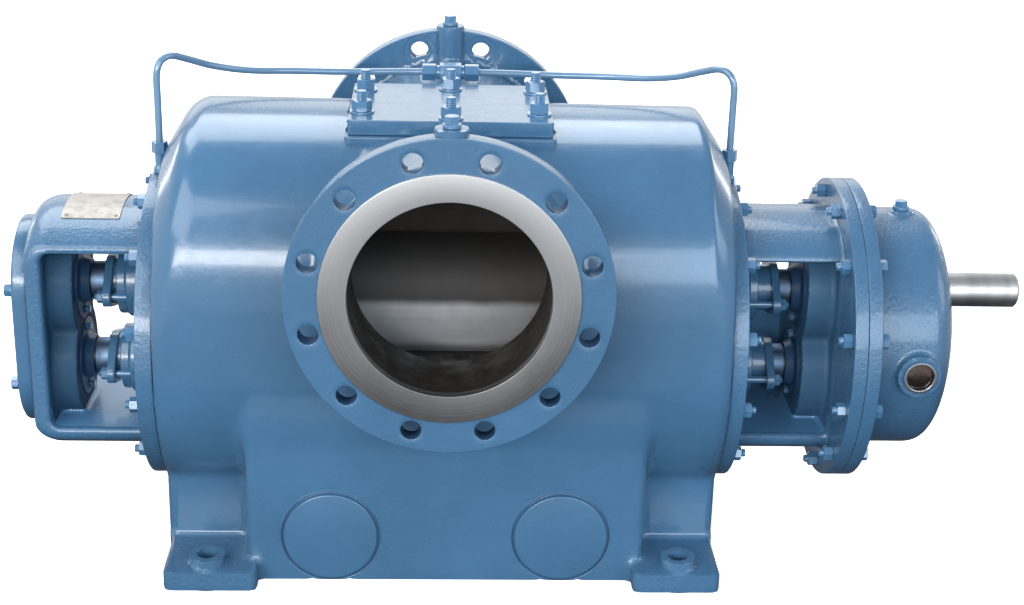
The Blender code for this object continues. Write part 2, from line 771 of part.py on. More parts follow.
def bearing_cover_left(finish):
    """The two-lobed cover on the outside of the left bracket's end wall."""
    cover = lobes(
        "bearing_cover_left",
        OUTER_COVER_X,
        LEFT_END_X - SEAT_GAP,
        OUTER_COVER_RADIUS,
        MEDIUM_STEPS,
        finish,
    )
    bevel = cover.modifiers.new("edge", "BEVEL")
    bevel.width = OUTER_COVER_EDGE
    bevel.segments = 2
    bevel.limit_method = "ANGLE"
    bevel.angle_limit = math.radians(60)


def gear_cover(finish):
    """The drive-end cover: rim, round body, domed end, sight glass and filler bosses."""
    cover = rod("gear_cover", (0, 0, AXIS_Z), (1, 0, 0), RIGHT_PLATE_X, GEAR_RIM_X,
                GEAR_RIM_RADIUS, LARGE_STEPS, finish)
    run = GEAR_END_X - GEAR_STRAIGHT_X
    depth = GEAR_BODY_RADIUS + GEAR_DOME_INSET
    power = 2 / GEAR_DOME_POWER
    dome = [
        (GEAR_STRAIGHT_X + run * math.sin(a) ** power, depth * math.cos(a) ** power - GEAR_DOME_INSET)
        for a in [math.radians(degrees) for degrees in GEAR_DOME_ANGLES]
    ]
    profile = [
        (RIGHT_PLATE_X + JOIN, 0.0),
        (RIGHT_PLATE_X + JOIN, GEAR_BODY_RADIUS + GEAR_FILLET),
        (GEAR_RIM_X, GEAR_BODY_RADIUS + GEAR_FILLET),
        (GEAR_RIM_X + GEAR_FILLET, GEAR_BODY_RADIUS),
    ] + dome + [(GEAR_END_X, 0.0)]
    body = turned("body", profile, (0, 0, GEAR_BODY_Z), (1, 0, 0), LARGE_STEPS)
    sight = rod(
        "sight", (SIGHT_X, 0, SIGHT_Z), (0, -1, 0), SIGHT_ROOT_Y, SIGHT_BOSS_Y, SIGHT_BOSS_RADIUS,
        MEDIUM_STEPS,
    )
    filler = rod(
        "filler", (FILLER_X, 0, 0), (0, 0, 1), FILLER_ROOT_Z, FILLER_BOSS_TOP, FILLER_BOSS_RADIUS,
        SMALL_STEPS,
    )
    combine(cover, [body, sight, filler])
    pocket = rod(
        "pocket",
        (SIGHT_X, 0, SIGHT_Z),
        (0, -1, 0),
        SIGHT_POCKET_Y,
        SIGHT_BOSS_Y + OVERRUN,
        SIGHT_PANE_RADIUS + SEAT_GAP,
        MEDIUM_STEPS,
    )
    drive_bore = rod(
        "bore",
        (0, 0, DRIVE_Z),
        (1, 0, 0),
        RIGHT_PLATE_X - OVERRUN,
        GEAR_END_X + OVERRUN,
        SHAFT_END_RADIUS + RUN_GAP,
        MEDIUM_STEPS,
    )
    driven_bore = rod(
        "bore", (0, 0, DRIVEN_Z), (1, 0, 0), RIGHT_PLATE_X - OVERRUN, DRIVEN_POCKET_X,
        SHAFT_RADIUS + RUN_GAP, SMALL_STEPS,
    )
    combine(cover, cuts=[pocket, drive_bore, driven_bore])


def sight_glass(ring_finish, pane_finish):
    centre = (SIGHT_X, 0.0, SIGHT_Z)
    tube_ring(
        "sight_glass_ring",
        centre,
        (0, -1, 0),
        SIGHT_BOSS_Y + SEAT_GAP,
        SIGHT_RING_Y,
        SIGHT_RING_RADIUS,
        SIGHT_RING_BORE,
        MEDIUM_STEPS,
        ring_finish,
    )
    rod(
        "sight_glass",
        centre,
        (0, -1, 0),
        SIGHT_POCKET_Y + SEAT_GAP,
        SIGHT_PANE_Y,
        SIGHT_PANE_RADIUS,
        MEDIUM_STEPS,
        pane_finish,
    )


def plug(name, x, y, bottom, top, finish):
    """A hexagon plug: a round collar with a hexagon head above it."""
    collar_top = bottom + PLUG_COLLAR_HEIGHT
    collar = rod(name, (x, y, 0), (0, 0, 1), bottom + SEAT_GAP, collar_top, PLUG_COLLAR_RADIUS,
                 SMALL_STEPS, finish)
    head = rod("head", (x, y, 0), (0, 0, 1), collar_top - JOIN, top, PLUG_RADIUS, HEX_STEPS)
    combine(collar, [head])


def gland_outline(centre_z):
    """The gland's oval: a round waist and two ears, joined by their common tangents."""
    turn = math.degrees(GLAND_TILT)
    rise = (GLAND_WAIST_RADIUS - GLAND_EAR_RADIUS) / GLAND_EAR_DISTANCE
    lean = math.degrees(math.acos(rise))
    outline = []
    for flip in (0, 180):
        start = turn + flip
        ear_y = GLAND_EAR_DISTANCE * math.cos(math.radians(start))
        ear_z = centre_z + GLAND_EAR_DISTANCE * math.sin(math.radians(start))
        outline += arc(ear_y, ear_z, GLAND_EAR_RADIUS, start - lean, start + lean, 6)
        outline += arc(0.0, centre_z, GLAND_WAIST_RADIUS, start + lean, start + 180 - lean, 8)
    return outline


def gland(name, side, centre_z, finish):
    """A two-bolt gland: an oval plate with a round nose that meets the stuffing box."""
    face = box_face(side)
    plate_low = face + (LEFT_GLAND_GAP if side < 0 else RIGHT_GLAND_GAP)
    low, high = sorted((side * plate_low, side * (plate_low + GLAND_THICKNESS)))
    centre = (0.0, 0.0, centre_z)
    plate = extruded(name, gland_outline(centre_z), "X", low, high, finish)
    nose = rod("nose", centre, (side, 0, 0), face + SEAT_GAP, plate_low + GLAND_NOSE_DEPTH,
               GLAND_NOSE_RADIUS, MEDIUM_STEPS)
    bore = rod("bore", centre, (side, 0, 0), CUT_NEAR, CUT_FAR, SLEEVE_RADIUS + RUN_GAP, MEDIUM_STEPS)
    combine(plate, [nose], [bore])


def bearing_cap(name, side, centre_z, finish):
    """The round cap seated in the inner face of a bearing housing, with a tapered nose."""
    face = housing_face(side)
    back = face + CAP_SEAT_DEPTH - SEAT_GAP
    front = face - CAP_PROUD
    tip = front - CAP_NOSE_LENGTH
    bore = SHAFT_RADIUS + RUN_GAP
    profile = (
        (tip, bore),
        (tip, CAP_NOSE_TIP_RADIUS),
        (front, CAP_NOSE_ROOT_RADIUS),
        (front, CAP_RADIUS),
        (back, CAP_RADIUS),
        (back, bore),
    )
    turned(name, profile, (0.0, 0.0, centre_z), (side, 0, 0), MEDIUM_STEPS, finish)


def flush_tube(name, route, finish):
    """A bent steel tube along a smooth curve through the route's points."""
    points = smooth_points(route, ROUTE_PARTS)
    curve = bpy.data.curves.new(name, "CURVE")
    curve.dimensions = "3D"
    curve.bevel_depth = TUBE_RADIUS
    curve.bevel_resolution = 2
    curve.use_fill_caps = True
    line = curve.splines.new("POLY")
    line.points.add(len(points) - 1)
    for slot, point in zip(line.points, points):
        slot.co = (*point, 1.0)
    curve.materials.append(finish)
    thing = bpy.data.objects.new(name, curve)
    bpy.context.collection.objects.link(thing)


def smooth_points(route, parts):
    """Points on a Catmull-Rom curve through the route's points."""
    knots = [Vector(p) for p in route]
    knots = [2 * knots[0] - knots[1]] + knots + [2 * knots[-1] - knots[-2]]
    points = []
    for a, b, c, d in zip(knots, knots[1:], knots[2:], knots[3:]):
        for i in range(parts):
            t = i / parts
            points.append(
                0.5 * (2 * b + (c - a) * t + (2 * a - 5 * b + 4 * c - d) * t ** 2
                       + (3 * b - a - 3 * c + d) * t ** 3)
            )
    points.append(knots[-2])
    return points


def tee(finish):
    """The tee behind the top cover, its stem down to the casing, and its two nuts."""
    centre = (0.0, TEE_Y, TEE_Z)
    body = rod("tee_fitting", centre, (1, 0, 0), -TEE_HALF_WIDTH, TEE_HALF_WIDTH, TEE_BODY_RADIUS,
               SMALL_STEPS, finish)
    ground = NOZZLE_Z + NECK_RADIUS + SEAT_GAP
    stem = rod("stem", (0, TEE_Y, 0), (0, 0, 1), ground, TEE_Z, TEE_STEM_RADIUS, SMALL_STEPS)
    combine(body, [stem])
    for side, name in ((-1, "tee_nut_left"), (1, "tee_nut_right")):
        low = TEE_HALF_WIDTH + SEAT_GAP
        rod(name, centre, (side, 0, 0), low, low + TEE_NUT_LENGTH, TEE_NUT_RADIUS, HEX_STEPS, finish)


def tube_fitting(name, x, flange_radius, finish):
    """The fitting that stands on a bracket flange's rim and takes the tube's lower end."""
    ground = AXIS_Z + flange_radius + SEAT_GAP
    stem = rod(name, (x, FITTING_Y, 0), (0, 0, 1), ground, FITTING_NUT_BOTTOM + JOIN,
               FITTING_RADIUS, SMALL_STEPS, finish)
    nut = rod("nut", (x, FITTING_Y, 0), (0, 0, 1), FITTING_NUT_BOTTOM, FITTING_NUT_TOP,
              FITTING_NUT_RADIUS, HEX_STEPS)
    combine(stem, [nut])


def nameplate(finish):
    """A bare plate that follows the crown of the left bracket."""
    inner = LANTERN_RADIUS + SEAT_GAP
    outer = inner + PLATE_THICKNESS
    half = math.degrees(PLATE_HALF_ANGLE)
    outline = arc(0.0, AXIS_Z, outer, 90 - half, 90 + half, 12)
    outline += arc(0.0, AXIS_Z, inner, 90 + half, 90 - half, 12)
    extruded("nameplate", outline, "X", PLATE_LEFT_X, PLATE_RIGHT_X, finish)


def drive_shaft(finish):
    """The upper shaft, which comes out of the gear cover and ends in a chamfer."""
    profile = (
        (SHAFT_LOW_X, 0.0),
        (SHAFT_LOW_X, SHAFT_RADIUS),
        (SHAFT_STEP_X, SHAFT_RADIUS),
        (SHAFT_STEP_X, SHAFT_END_RADIUS),
        (SHAFT_TIP_X - SHAFT_CHAMFER, SHAFT_END_RADIUS),
        (SHAFT_TIP_X, SHAFT_END_RADIUS - SHAFT_CHAMFER),
        (SHAFT_TIP_X, 0.0),
    )
    turned("drive_shaft", profile, (0.0, 0.0, DRIVE_Z), (1, 0, 0), SMALL_STEPS, finish)


def driven_shaft(finish):
    rod("driven_shaft", (0.0, 0.0, DRIVEN_Z), (1, 0, 0), SHAFT_LOW_X, DRIVEN_SHAFT_HIGH_X,
        SHAFT_RADIUS, SMALL_STEPS, finish)


def shaft_sleeve(name, side, centre_z, finish):
    """The sleeve on a shaft between the gland and the bearing cap."""
    far = housing_face(side) - CAP_PROUD - CAP_NOSE_LENGTH - SLEEVE_END_GAP
    near = box_face(side) + SLEEVE_START_GAP
    tube_ring(name, (0.0, 0.0, centre_z), (side, 0, 0), near, far, SLEEVE_RADIUS,
              SHAFT_RADIUS + SEAT_GAP, MEDIUM_STEPS, finish)


def put_on_axis(names, centre_z):
    """Give each moving piece its origin on its own shaft line."""
    for name in names:
        thing = bpy.data.objects[name]
        shift = Vector((0.0, 0.0, centre_z))
        for vertex in thing.data.vertices:
            vertex.co -= shift
        thing.location = shift


def main():
    remove_everything()
    paint = material("blue_paint", (0.10, 0.27, 0.47), 0.35, 0.0)
    dark_paint = material("dark_paint", (0.05, 0.13, 0.26), 0.45, 0.0)
    cast = material("bare_barrel", (0.30, 0.30, 0.31), 0.40, 0.8)
    steel = material("polished_steel", (0.60, 0.58, 0.55), 0.25, 1.0)
    glass = material("oil_glass", (0.12, 0.06, 0.03), 0.10, 0.0)
    bare = material("bare_plate", (0.78, 0.74, 0.66), 0.40, 0.3)

    pump_casing(paint)
    screw_barrel(cast)
    top_cover(paint)
    for side in (-1, 1):
        seal_cover(side, paint)
    bearing_bracket_left(paint)
    bearing_bracket_right(paint)
    bearing_cover_left(paint)
    gear_cover(paint)
    sight_glass(steel, glass)
    plug("gear_filler_plug", FILLER_X, 0.0, FILLER_BOSS_TOP, FILLER_TOP, paint)
    for side, side_name in ((-1, "left"), (1, "right")):
        for centre_z, height in ((DRIVE_Z, "upper"), (DRIVEN_Z, "lower")):
            gland(f"gland_{height}_{side_name}", side, centre_z, paint)
            bearing_cap(f"bearing_cap_{height}_{side_name}", side, centre_z, dark_paint)
    tee(paint)
    tube_start_x = TEE_HALF_WIDTH + TEE_NUT_LENGTH + 2 * SEAT_GAP
    flush_tube("flush_tube_left", ((-tube_start_x, TEE_Y, TEE_Z),) + LEFT_TUBE_ROUTE
               + ((LEFT_FITTING_X, FITTING_Y, FITTING_NUT_TOP + SEAT_GAP),), paint)
    flush_tube("flush_tube_right", ((tube_start_x, TEE_Y, TEE_Z),) + RIGHT_TUBE_ROUTE
               + ((RIGHT_FITTING_X, FITTING_Y, FITTING_NUT_TOP + SEAT_GAP),), paint)
    tube_fitting("tube_fitting_left", LEFT_FITTING_X, LEFT_FLANGE_RADIUS, paint)
    tube_fitting("tube_fitting_right", RIGHT_FITTING_X, RIGHT_FLANGE_RADIUS, paint)
    plug("vent_plug_front", 0.0, -GAUGE_BOSS_Y, GAUGE_BOSS_TOP, VENT_TOP, paint)
    plug("vent_plug_rear", 0.0, GAUGE_BOSS_Y, GAUGE_BOSS_TOP, VENT_TOP, paint)
    nameplate(bare)
    drive_shaft(steel)
    driven_shaft(steel)
    for side, side_name in ((-1, "left"), (1, "right")):
        shaft_sleeve(f"drive_sleeve_{side_name}", side, DRIVE_Z, steel)
        shaft_sleeve(f"driven_sleeve_{side_name}", side, DRIVEN_Z, steel)
    put_on_axis(("drive_shaft", "drive_sleeve_left", "drive_sleeve_right"), DRIVE_Z)
    put_on_axis(("driven_shaft", "driven_sleeve_left", "driven_sleeve_right"), DRIVEN_Z)


main()
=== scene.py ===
"""The finish of a twin screw pump: cast skins with their fillets, flanges, fasteners, pipework,
paint and bare metal, set on a pale floor under soft light.

Metres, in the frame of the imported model: the shafts run along X with the driven end at +X,
the nozzles face -Y and +Y, and the feet stand on the floor at Z = 0.
"""

import math

import bpy
import mathutils
import numpy as np
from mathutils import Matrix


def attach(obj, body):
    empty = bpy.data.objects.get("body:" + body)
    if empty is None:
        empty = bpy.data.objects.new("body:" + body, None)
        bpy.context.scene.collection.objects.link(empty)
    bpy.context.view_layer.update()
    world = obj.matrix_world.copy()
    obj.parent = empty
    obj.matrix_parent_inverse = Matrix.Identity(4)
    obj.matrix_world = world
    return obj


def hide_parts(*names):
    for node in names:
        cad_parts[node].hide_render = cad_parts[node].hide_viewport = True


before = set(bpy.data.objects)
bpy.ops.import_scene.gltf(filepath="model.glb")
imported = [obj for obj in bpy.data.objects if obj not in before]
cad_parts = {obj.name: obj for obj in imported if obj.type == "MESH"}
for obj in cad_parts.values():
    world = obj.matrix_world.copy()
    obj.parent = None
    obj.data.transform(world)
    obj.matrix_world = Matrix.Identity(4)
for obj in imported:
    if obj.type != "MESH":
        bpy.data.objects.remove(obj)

bl_info = {
    "name": "Twin screw pump looks",
    "version": (1, 0, 0),
    "blender": (4, 5, 0),
    "location": "3D View > Sidebar > Pump",
    "description": "Dresses a packed twin screw pump with detailed castings, fasteners and finishes",
    "category": "Object",
}

# Heights and axes shared by several pieces
AXIS_Z = 0.286
DRIVE_Z = 0.3425
DRIVEN_Z = 0.2295
SHAFT_HEIGHTS = {"upper": DRIVE_Z, "lower": DRIVEN_Z}
SIDES = {"left": -1, "right": 1}
ORIGIN, ALONG, UPWARD = (0, 0, 0), (1, 0, 0), (0, 0, 1)

# Clearances: between seated pieces, round running shafts, and from the floor
SEAT_GAP, RUN_GAP, FLOOR_DROP = 0.0003, 0.0005, 0.0002

# Casing
BODY_LEFT_X, BODY_RIGHT_X = -0.380, 0.370
BODY_RADIUS, BODY_END_RADIUS, BODY_EDGE = 0.226, 0.217, 0.020
CROWN_POWER = 2.2
LEFT_CROWN_Z, RIGHT_CROWN_Z = 0.5975, 0.5920
LEFT_SHOULDER_Z, RIGHT_SHOULDER_Z = 0.538, 0.543
LEFT_SHOULDER_RUN, RIGHT_SHOULDER_RUN = 0.036, 0.033
LEFT_SHOULDER_ROUNDING, RIGHT_SHOULDER_ROUNDING = 0.041, 0.014
PANEL_HALF_X, PANEL_HALF_Y, PANEL_TOP_Z = 0.265, 0.2245, 0.296
LEG_LOW_X, LEG_HIGH_X, LEG_HALF_Y, LEG_TOP_Z = -0.3775, 0.3685, 0.153, 0.230
FEET = ((-0.372, -0.249, -0.3155), (0.249, 0.366, 0.311))
FOOT_HALF_Y, FOOT_HEIGHT, FOOT_BOLT_Y = 0.2585, 0.028, 0.2305
FOOT_FILLET, LEG_FILLET, NECK_FILLET, GAUGE_FILLET, CAST_EDGE = 0.009, 0.006, 0.020, 0.008, 0.002
FOOT_BOSS_RADIUS, FOOT_BOSS_TOP, FOOT_HOLE_RADIUS = 0.0235, 0.042, 0.0133
ROUND_PAD_X, ROUND_PAD_Z, ROUND_PAD_RADIUS, ROUND_PAD_PROUD = 0.153, 0.065, 0.0615, 0.003
NOZZLE_Z, FLANGE_FACE_Y, FLANGE_THICKNESS, FLANGE_RADIUS = 0.436, 0.3205, 0.0267, 0.2025
RAISED_RADIUS, RAISED_HEIGHT, BORE_RADIUS, NECK_RADIUS = 0.160, 0.003, 0.125, 0.156
BOLT_CIRCLE, BOLT_HOLE_RADIUS, BOLT_COUNT, NOZZLE_BORE_Y = 0.1775, 0.013, 12, 0.2085
GAUGE_BOSS_RADIUS, GAUGE_BOSS_TOP, GAUGE_BOSS_Y = 0.021, 0.6455, 0.2978
CHAMBER_HALF_X, CHAMBER_RADIUS, CHAMBER_Z, CHAMBER_LIFT = 0.200, 0.205, 0.291, 0.072
CHAMBER_FLOOR_Z, DIVIDER_HALF_Y = 0.276, 0.022
BARREL_RADIUS, BARREL_HALF_X = 0.085, 0.215
COVER_HALF_X, COVER_HALF_Y = 0.1335, 0.103
COVER_BED_Z, COVER_BOTTOM_Z, COVER_TOP_Z = 0.545, 0.5820, 0.6020

# Brackets and what they hold
LANTERN_RADIUS, LANTERN_HALF_Y = 0.172, 0.104
LEFT_ROOT_X, RIGHT_ROOT_X, RIGHT_TIP_X = -0.391, 0.3805, 0.5387
LEFT_FLANGE_X, LEFT_FLANGE_RADIUS = -0.4026, 0.2127
LEFT_END_X, LEFT_WALL_X, LEFT_HOUSING_X = -0.562, -0.5395, -0.505
RIGHT_FLANGE_X, RIGHT_FLANGE_RADIUS = 0.3906, 0.2107
RIGHT_END_X, RIGHT_HOUSING_X, RIGHT_PLATE_X, RIGHT_PLATE_RADIUS = 0.5294, 0.4914, 0.548, 0.210
WINDOW_LOW_Z, WINDOW_HIGH_Z = 0.1625, 0.4142
RIGHT_REAR_WALL_Y, RIGHT_REAR_SILL_Z = 0.092, 0.300
HOUSING_RADIUS, HOUSING_FILLET, HOUSING_EDGE = 0.078, 0.010, 0.003
RIM_COVER, RIM_SINK, RIM_BORE, RIM_CORE_EDGE = 0.004, 0.0014, 0.158, 0.0016
BRACKET_FILLET, LANTERN_EDGE, WINDOW_EDGE = 0.006, 0.007, 0.0055
BODY_FACE = {"left": -BODY_LEFT_X + SEAT_GAP, "right": BODY_RIGHT_X + SEAT_GAP}
FLANGE_FACE = {"left": -LEFT_FLANGE_X, "right": RIGHT_FLANGE_X}
FLANGE_RIM = {"left": LEFT_FLANGE_RADIUS, "right": RIGHT_FLANGE_RADIUS}
HOUSING_FACE = {"left": -LEFT_HOUSING_X, "right": RIGHT_HOUSING_X}
SEAT_START = {"left": 0.45, "right": 0.44}
BORE_END = {"left": 0.554, "right": 1.0}

CAP_RADIUS, CAP_SEAT_DEPTH, CAP_PROUD = 0.0545, 0.006, 0.0015
CAP_NOSE_ROOT_RADIUS, CAP_NOSE_TIP_RADIUS, CAP_NOSE_LENGTH = 0.033, 0.029, 0.012
OUTER_COVER_X, OUTER_COVER_RADIUS, OUTER_COVER_EDGE = -0.584, 0.090, 0.004

# Shafts, their seals and sleeves
SHAFT_RADIUS, SHAFT_END_RADIUS, SHAFT_STEP_X, SHAFT_TIP_X = 0.020, 0.024, 0.575, 0.801
SHAFT_LOW_X, DRIVEN_HIGH_X, SHAFT_CHAMFER = -0.545, 0.560, 0.003
SLEEVE_RADIUS, SLEEVE_START_GAP, SLEEVE_END_GAP = 0.0262, 0.0037, 0.0015
SEAL_PLATE_RADIUS, SEAL_PLATE_THICKNESS, BOX_RADIUS, SEAL_BORE = 0.150, 0.016, 0.046, 0.0215
BOX_LENGTH = {"left": 0.072, "right": 0.058}
BOX_POCKET_DEPTH, BOX_POCKET_RADIUS = 0.030, 0.0325
GLAND_GAP = {"left": 0.0065, "right": 0.0200}
GLAND_THICKNESS, GLAND_NOSE_RADIUS, GLAND_WAIST_RADIUS = 0.011, 0.032, 0.036
GLAND_EAR_RADIUS, GLAND_EAR_DISTANCE, GLAND_TILT = 0.0135, 0.045, 12

# Gear cover
GEAR_RIM_X, GEAR_RIM_RADIUS = 0.5664, 0.210
GEAR_Z, GEAR_RADIUS, GEAR_STRAIGHT_X, GEAR_END_X = 0.2895, 0.1662, 0.637, 0.6925
GEAR_DOME_POWER, GEAR_DOME_INSET = 3.15, 0.054
SIGHT_X, SIGHT_Z, SIGHT_BOSS_RADIUS, SIGHT_BOSS_Y = 0.627, 0.282, 0.029, 0.1775
FILLER_X, FILLER_BOSS_RADIUS, FILLER_BOSS_TOP = 0.626, 0.016, 0.4600

SIGHT_RING_RADIUS, SIGHT_RING_BARE, SIGHT_RING_BORE = 0.0225, 0.0203, 0.0180
SIGHT_RING_Y, SIGHT_PANE_Y, PANE_BACK_Y, PANE_RADIUS = 0.1815, 0.1775, 0.1603, 0.0182
FILLER_TOP = 0.4730

# Fasteners: nuts' circles on the brackets' flanges and on the gear cover's, and a washer
BRACKET_NUT_CIRCLE, GEAR_NUT_CIRCLE, WASHER_THICKNESS = 0.1925, 0.1915, 0.0022
CAP_SCREW_CIRCLE, GLAND_STUD_RADIUS = 0.0435, 0.0050
COVER_STUDS = ((-0.1165, -0.060), (0.0, -0.088), (0.1165, -0.060),
               (-0.1165, 0.060), (0.0, 0.072), (0.1165, 0.060))
HEXAGON_FLATS = 2 * math.cos(math.pi / 6)

# Vents, tee, tubes and nameplate
VENT_TOP, PLUG_RADIUS, PLUG_COLLAR_RADIUS = 0.660, 0.0095, 0.0114
TEE_Y, TEE_Z, TEE_HALF_WIDTH, TEE_RADIUS, TEE_STEM_RADIUS = 0.150, 0.608, 0.020, 0.012, 0.008
TEE_NUT_RADIUS, TEE_NUT_LENGTH, TUBE_RADIUS = 0.0125, 0.020, 0.0049
FITTING_RADIUS, FITTING_NUT_RADIUS, FITTING_NUT_LOW, FITTING_NUT_HIGH = 0.0095, 0.0110, 0.526, 0.542
FITTING_X = {"left": -0.3915, "right": 0.3820}
TUBE_ROUTES = {
    "left": ((-0.0406, 0.150, 0.608), (-0.070, 0.150, 0.608), (-0.150, 0.147, 0.607),
             (-0.220, 0.135, 0.610), (-0.280, 0.108, 0.616), (-0.325, 0.075, 0.629),
             (-0.355, 0.043, 0.645), (-0.374, 0.018, 0.655), (-0.386, 0.005, 0.650),
             (-0.3912, 0.0, 0.634), (-0.3915, 0.0, 0.600), (-0.3915, 0.0, 0.575),
             (-0.3915, 0.0, 0.5425)),
    "right": ((0.0406, 0.150, 0.608), (0.070, 0.150, 0.608), (0.150, 0.147, 0.607),
              (0.220, 0.135, 0.609), (0.275, 0.108, 0.614), (0.315, 0.075, 0.625),
              (0.345, 0.043, 0.640), (0.363, 0.018, 0.649), (0.375, 0.005, 0.645),
              (0.3815, 0.0, 0.630), (0.3820, 0.0, 0.600), (0.3820, 0.0, 0.575),
              (0.3820, 0.0, 0.5425)),
}
PLATE_LOW_X, PLATE_HIGH_X, PLATE_HALF_ANGLE, PLATE_THICKNESS = -0.518, -0.440, 19, 0.0012

# The boxes that the castings' skins are looked for in
CASING_BOX = (-0.395, -0.331, -0.012), (0.385, 0.331, 0.668)
LEFT_BRACKET_BOX = (-0.575, -0.222, 0.066), (-0.372, 0.222, 0.506)
RIGHT_BRACKET_BOX = (0.362, -0.220, 0.066), (0.556, 0.220, 0.506)
GEAR_COVER_BOX = (0.540, -0.222, 0.066), (0.702, 0.222, 0.506)

# The photograph's view: where the camera stands, how it is turned, and its lens
CAMERA_PLACE = (-0.0142, -2.3086, 1.1788)
CAMERA_RIGHT = (0.99905, -0.03549, 0.02539)
CAMERA_UP = (-0.01133, 0.35077, 0.93639)
CAMERA_FORWARD = (0.04214, 0.93579, -0.35003)
CAMERA_LENS = 61.763
FLOOR_REACH = 30.0

# Colours that the sidebar doesn't give
WHITE, STAIN, SPOT = (1.0, 1.0, 1.0, 1.0), (0.30, 0.24, 0.19, 1.0), (0.36, 0.28, 0.20, 1.0)
# The tube paint is lighter and greyer than the casing's: partly the tubes' own paint, partly painted
# highlight.
TUBE_PAINT, SLEEVE_STEEL = (0.105, 0.195, 0.300, 1.0), (0.13, 0.20, 0.30, 1.0)
BRIGHT_RING = (0.70, 0.69, 0.67, 1.0)


# Meshes

def whole(values):
    return np.asarray(values, dtype=float)


def add_piece(name, shape, *finishes, body="pump", slot="blue_paint", sharp=38, choice=None,
              replaces=None):
    """Make a mesh object from (points, faces) arrays, smooth it, and let it ride on a body.

    The choice is each face's place among the named finishes. Points that share a place are
    welded, so that seams and poles are closed.
    """
    points, faces, kept = welded(shape)
    data = bpy.data.meshes.new(name)
    data.from_pydata(points, [], faces)
    data.shade_smooth()
    data.set_sharp_from_angle(angle=math.radians(sharp))
    for finish in finishes:
        data.materials.append(FINISHES[finish])
    if choice is not None:
        data.polygons.foreach_set("material_index", choice[kept].astype(np.int32))
    data.update()
    piece = bpy.data.objects.new(name, data)
    bpy.context.scene.collection.objects.link(piece)
    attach(piece, body)
    if replaces:
        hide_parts(replaces)
    return piece


def add_fasteners(name, shapes, replaces=None):
    """Make one piece from nuts, screws or plugs, whose flats keep crisp edges, in paint lightened as
    painted highlight.
    """
    add_piece(name, joined(shapes), "fastener", sharp=30, replaces=replaces)


def welded(shape):
    """Merge the points that share a place; give the faces left, and their old numbers."""
    points, faces = shape
    keys = np.round(whole(points) * 1e6).astype(np.int64)
    _, first, back = np.unique(keys, axis=0, return_index=True, return_inverse=True)
    back = back.ravel().tolist()
    merged = [tuple(dict.fromkeys(back[i] for i in face)) for face in faces]
    kept = [number for number, face in enumerate(merged) if len(face) > 2]
    return points[first], [merged[number] for number in kept], kept


def joined(shapes):
    """Put several (points, faces) shapes into one, each one's faces shifted past the last's."""
    starts = np.cumsum([0] + [len(points) for points, _ in shapes[:-1]])
    points = np.concatenate([points for points, _ in shapes])
    faces = [tuple(int(i) + int(start) for i in face)
             for (_, corners), start in zip(shapes, starts) for face in corners]
    return points, faces


def grid_faces(rows, columns):
    """Quads of a grid of points kept row by row, each row closed round."""
    r, c = np.meshgrid(np.arange(rows - 1), np.arange(columns), indexing="ij")
    c2 = (c + 1) % columns
    corners = [r * columns + c, r * columns + c2, (r + 1) * columns + c2, (r + 1) * columns + c]
    return np.stack(corners, -1).reshape(-1, 4).tolist()


def end_faces(rows, columns):
    """The two faces that close a grid's first and last rows."""
    last = (rows - 1) * columns
    return [tuple(range(columns - 1, -1, -1)), tuple(range(last, last + columns))]


def rounded(profile, radii):
    """Round a path's corners: each corner gives way to an arc that touches both its sides.

    The arc leaves a side at radius / tan(half the corner's angle) from the corner.
    """
    profile = [whole(p) for p in profile]
    path = [profile[0]]
    for before, corner, after, radius in zip(profile, profile[1:], profile[2:], radii):
        to_before, to_after = before - corner, after - corner
        long_before, long_after = np.linalg.norm(to_before), np.linalg.norm(to_after)
        to_before, to_after = to_before / long_before, to_after / long_after
        half = math.acos(float(np.clip(to_before @ to_after, -1, 1))) / 2
        if radius <= 0 or half > math.pi / 2 - 0.01:
            path.append(corner)
            continue
        reach = min(radius / math.tan(half), 0.49 * long_before, 0.49 * long_after)
        radius = reach * math.tan(half)
        middle = to_before + to_after
        centre = corner + middle / np.linalg.norm(middle) * radius / math.sin(half)
        start = corner + to_before * reach - centre
        end = corner + to_after * reach - centre
        turn = math.atan2(start[0] * end[1] - start[1] * end[0], start @ end)
        steps = max(2, int(math.ceil(abs(turn) / math.radians(18))))
        for i in range(steps + 1):
            a = turn * i / steps
            path.append(centre + whole((start[0] * math.cos(a) - start[1] * math.sin(a),
                                        start[0] * math.sin(a) + start[1] * math.cos(a))))
    path.append(profile[-1])
    return np.array(path)


def axes_of(direction):
    """Three unit vectors: the direction and two that stand square to it."""
    along = whole(direction) / np.linalg.norm(direction)
    helper = whole((0, 0, 1)) if abs(along[2]) < 0.9 else whole((1, 0, 0))
    across = np.cross(helper, along)
    across /= np.linalg.norm(across)
    return along, across, np.cross(along, across)


def turned(profile, centre, direction, steps=96):
    """Carry a profile of (distance along, radius) round an axis.

    A point lies at centre + along * distance + radius * (across cos a + up sin a).
    """
    along, across, up = axes_of(direction)
    angle = np.linspace(0, math.tau, steps, endpoint=False)
    profile = whole(profile)
    ring = np.cos(angle)[:, None] * across + np.sin(angle)[:, None] * up
    points = (whole(centre) + profile[:, 0, None, None] * along
              + profile[:, 1, None, None] * ring[None])
    return points.reshape(-1, 3), grid_faces(len(profile), steps)


def drum(low, high, radius, edge):
    """A closed profile for a solid disc or pin with rounded rims."""
    return rounded([(low, 0), (low, radius), (high, radius), (high, 0)], (edge, edge))


def tube_profile(low, high, inner, outer, edge):
    """A profile for a ring: bore, end face, outside and the other end face, closed."""
    middle = ((low + high) / 2, inner)
    corners = [middle, (low, inner), (low, outer), (high, outer), (high, inner), middle]
    return rounded(corners, (edge,) * 4)


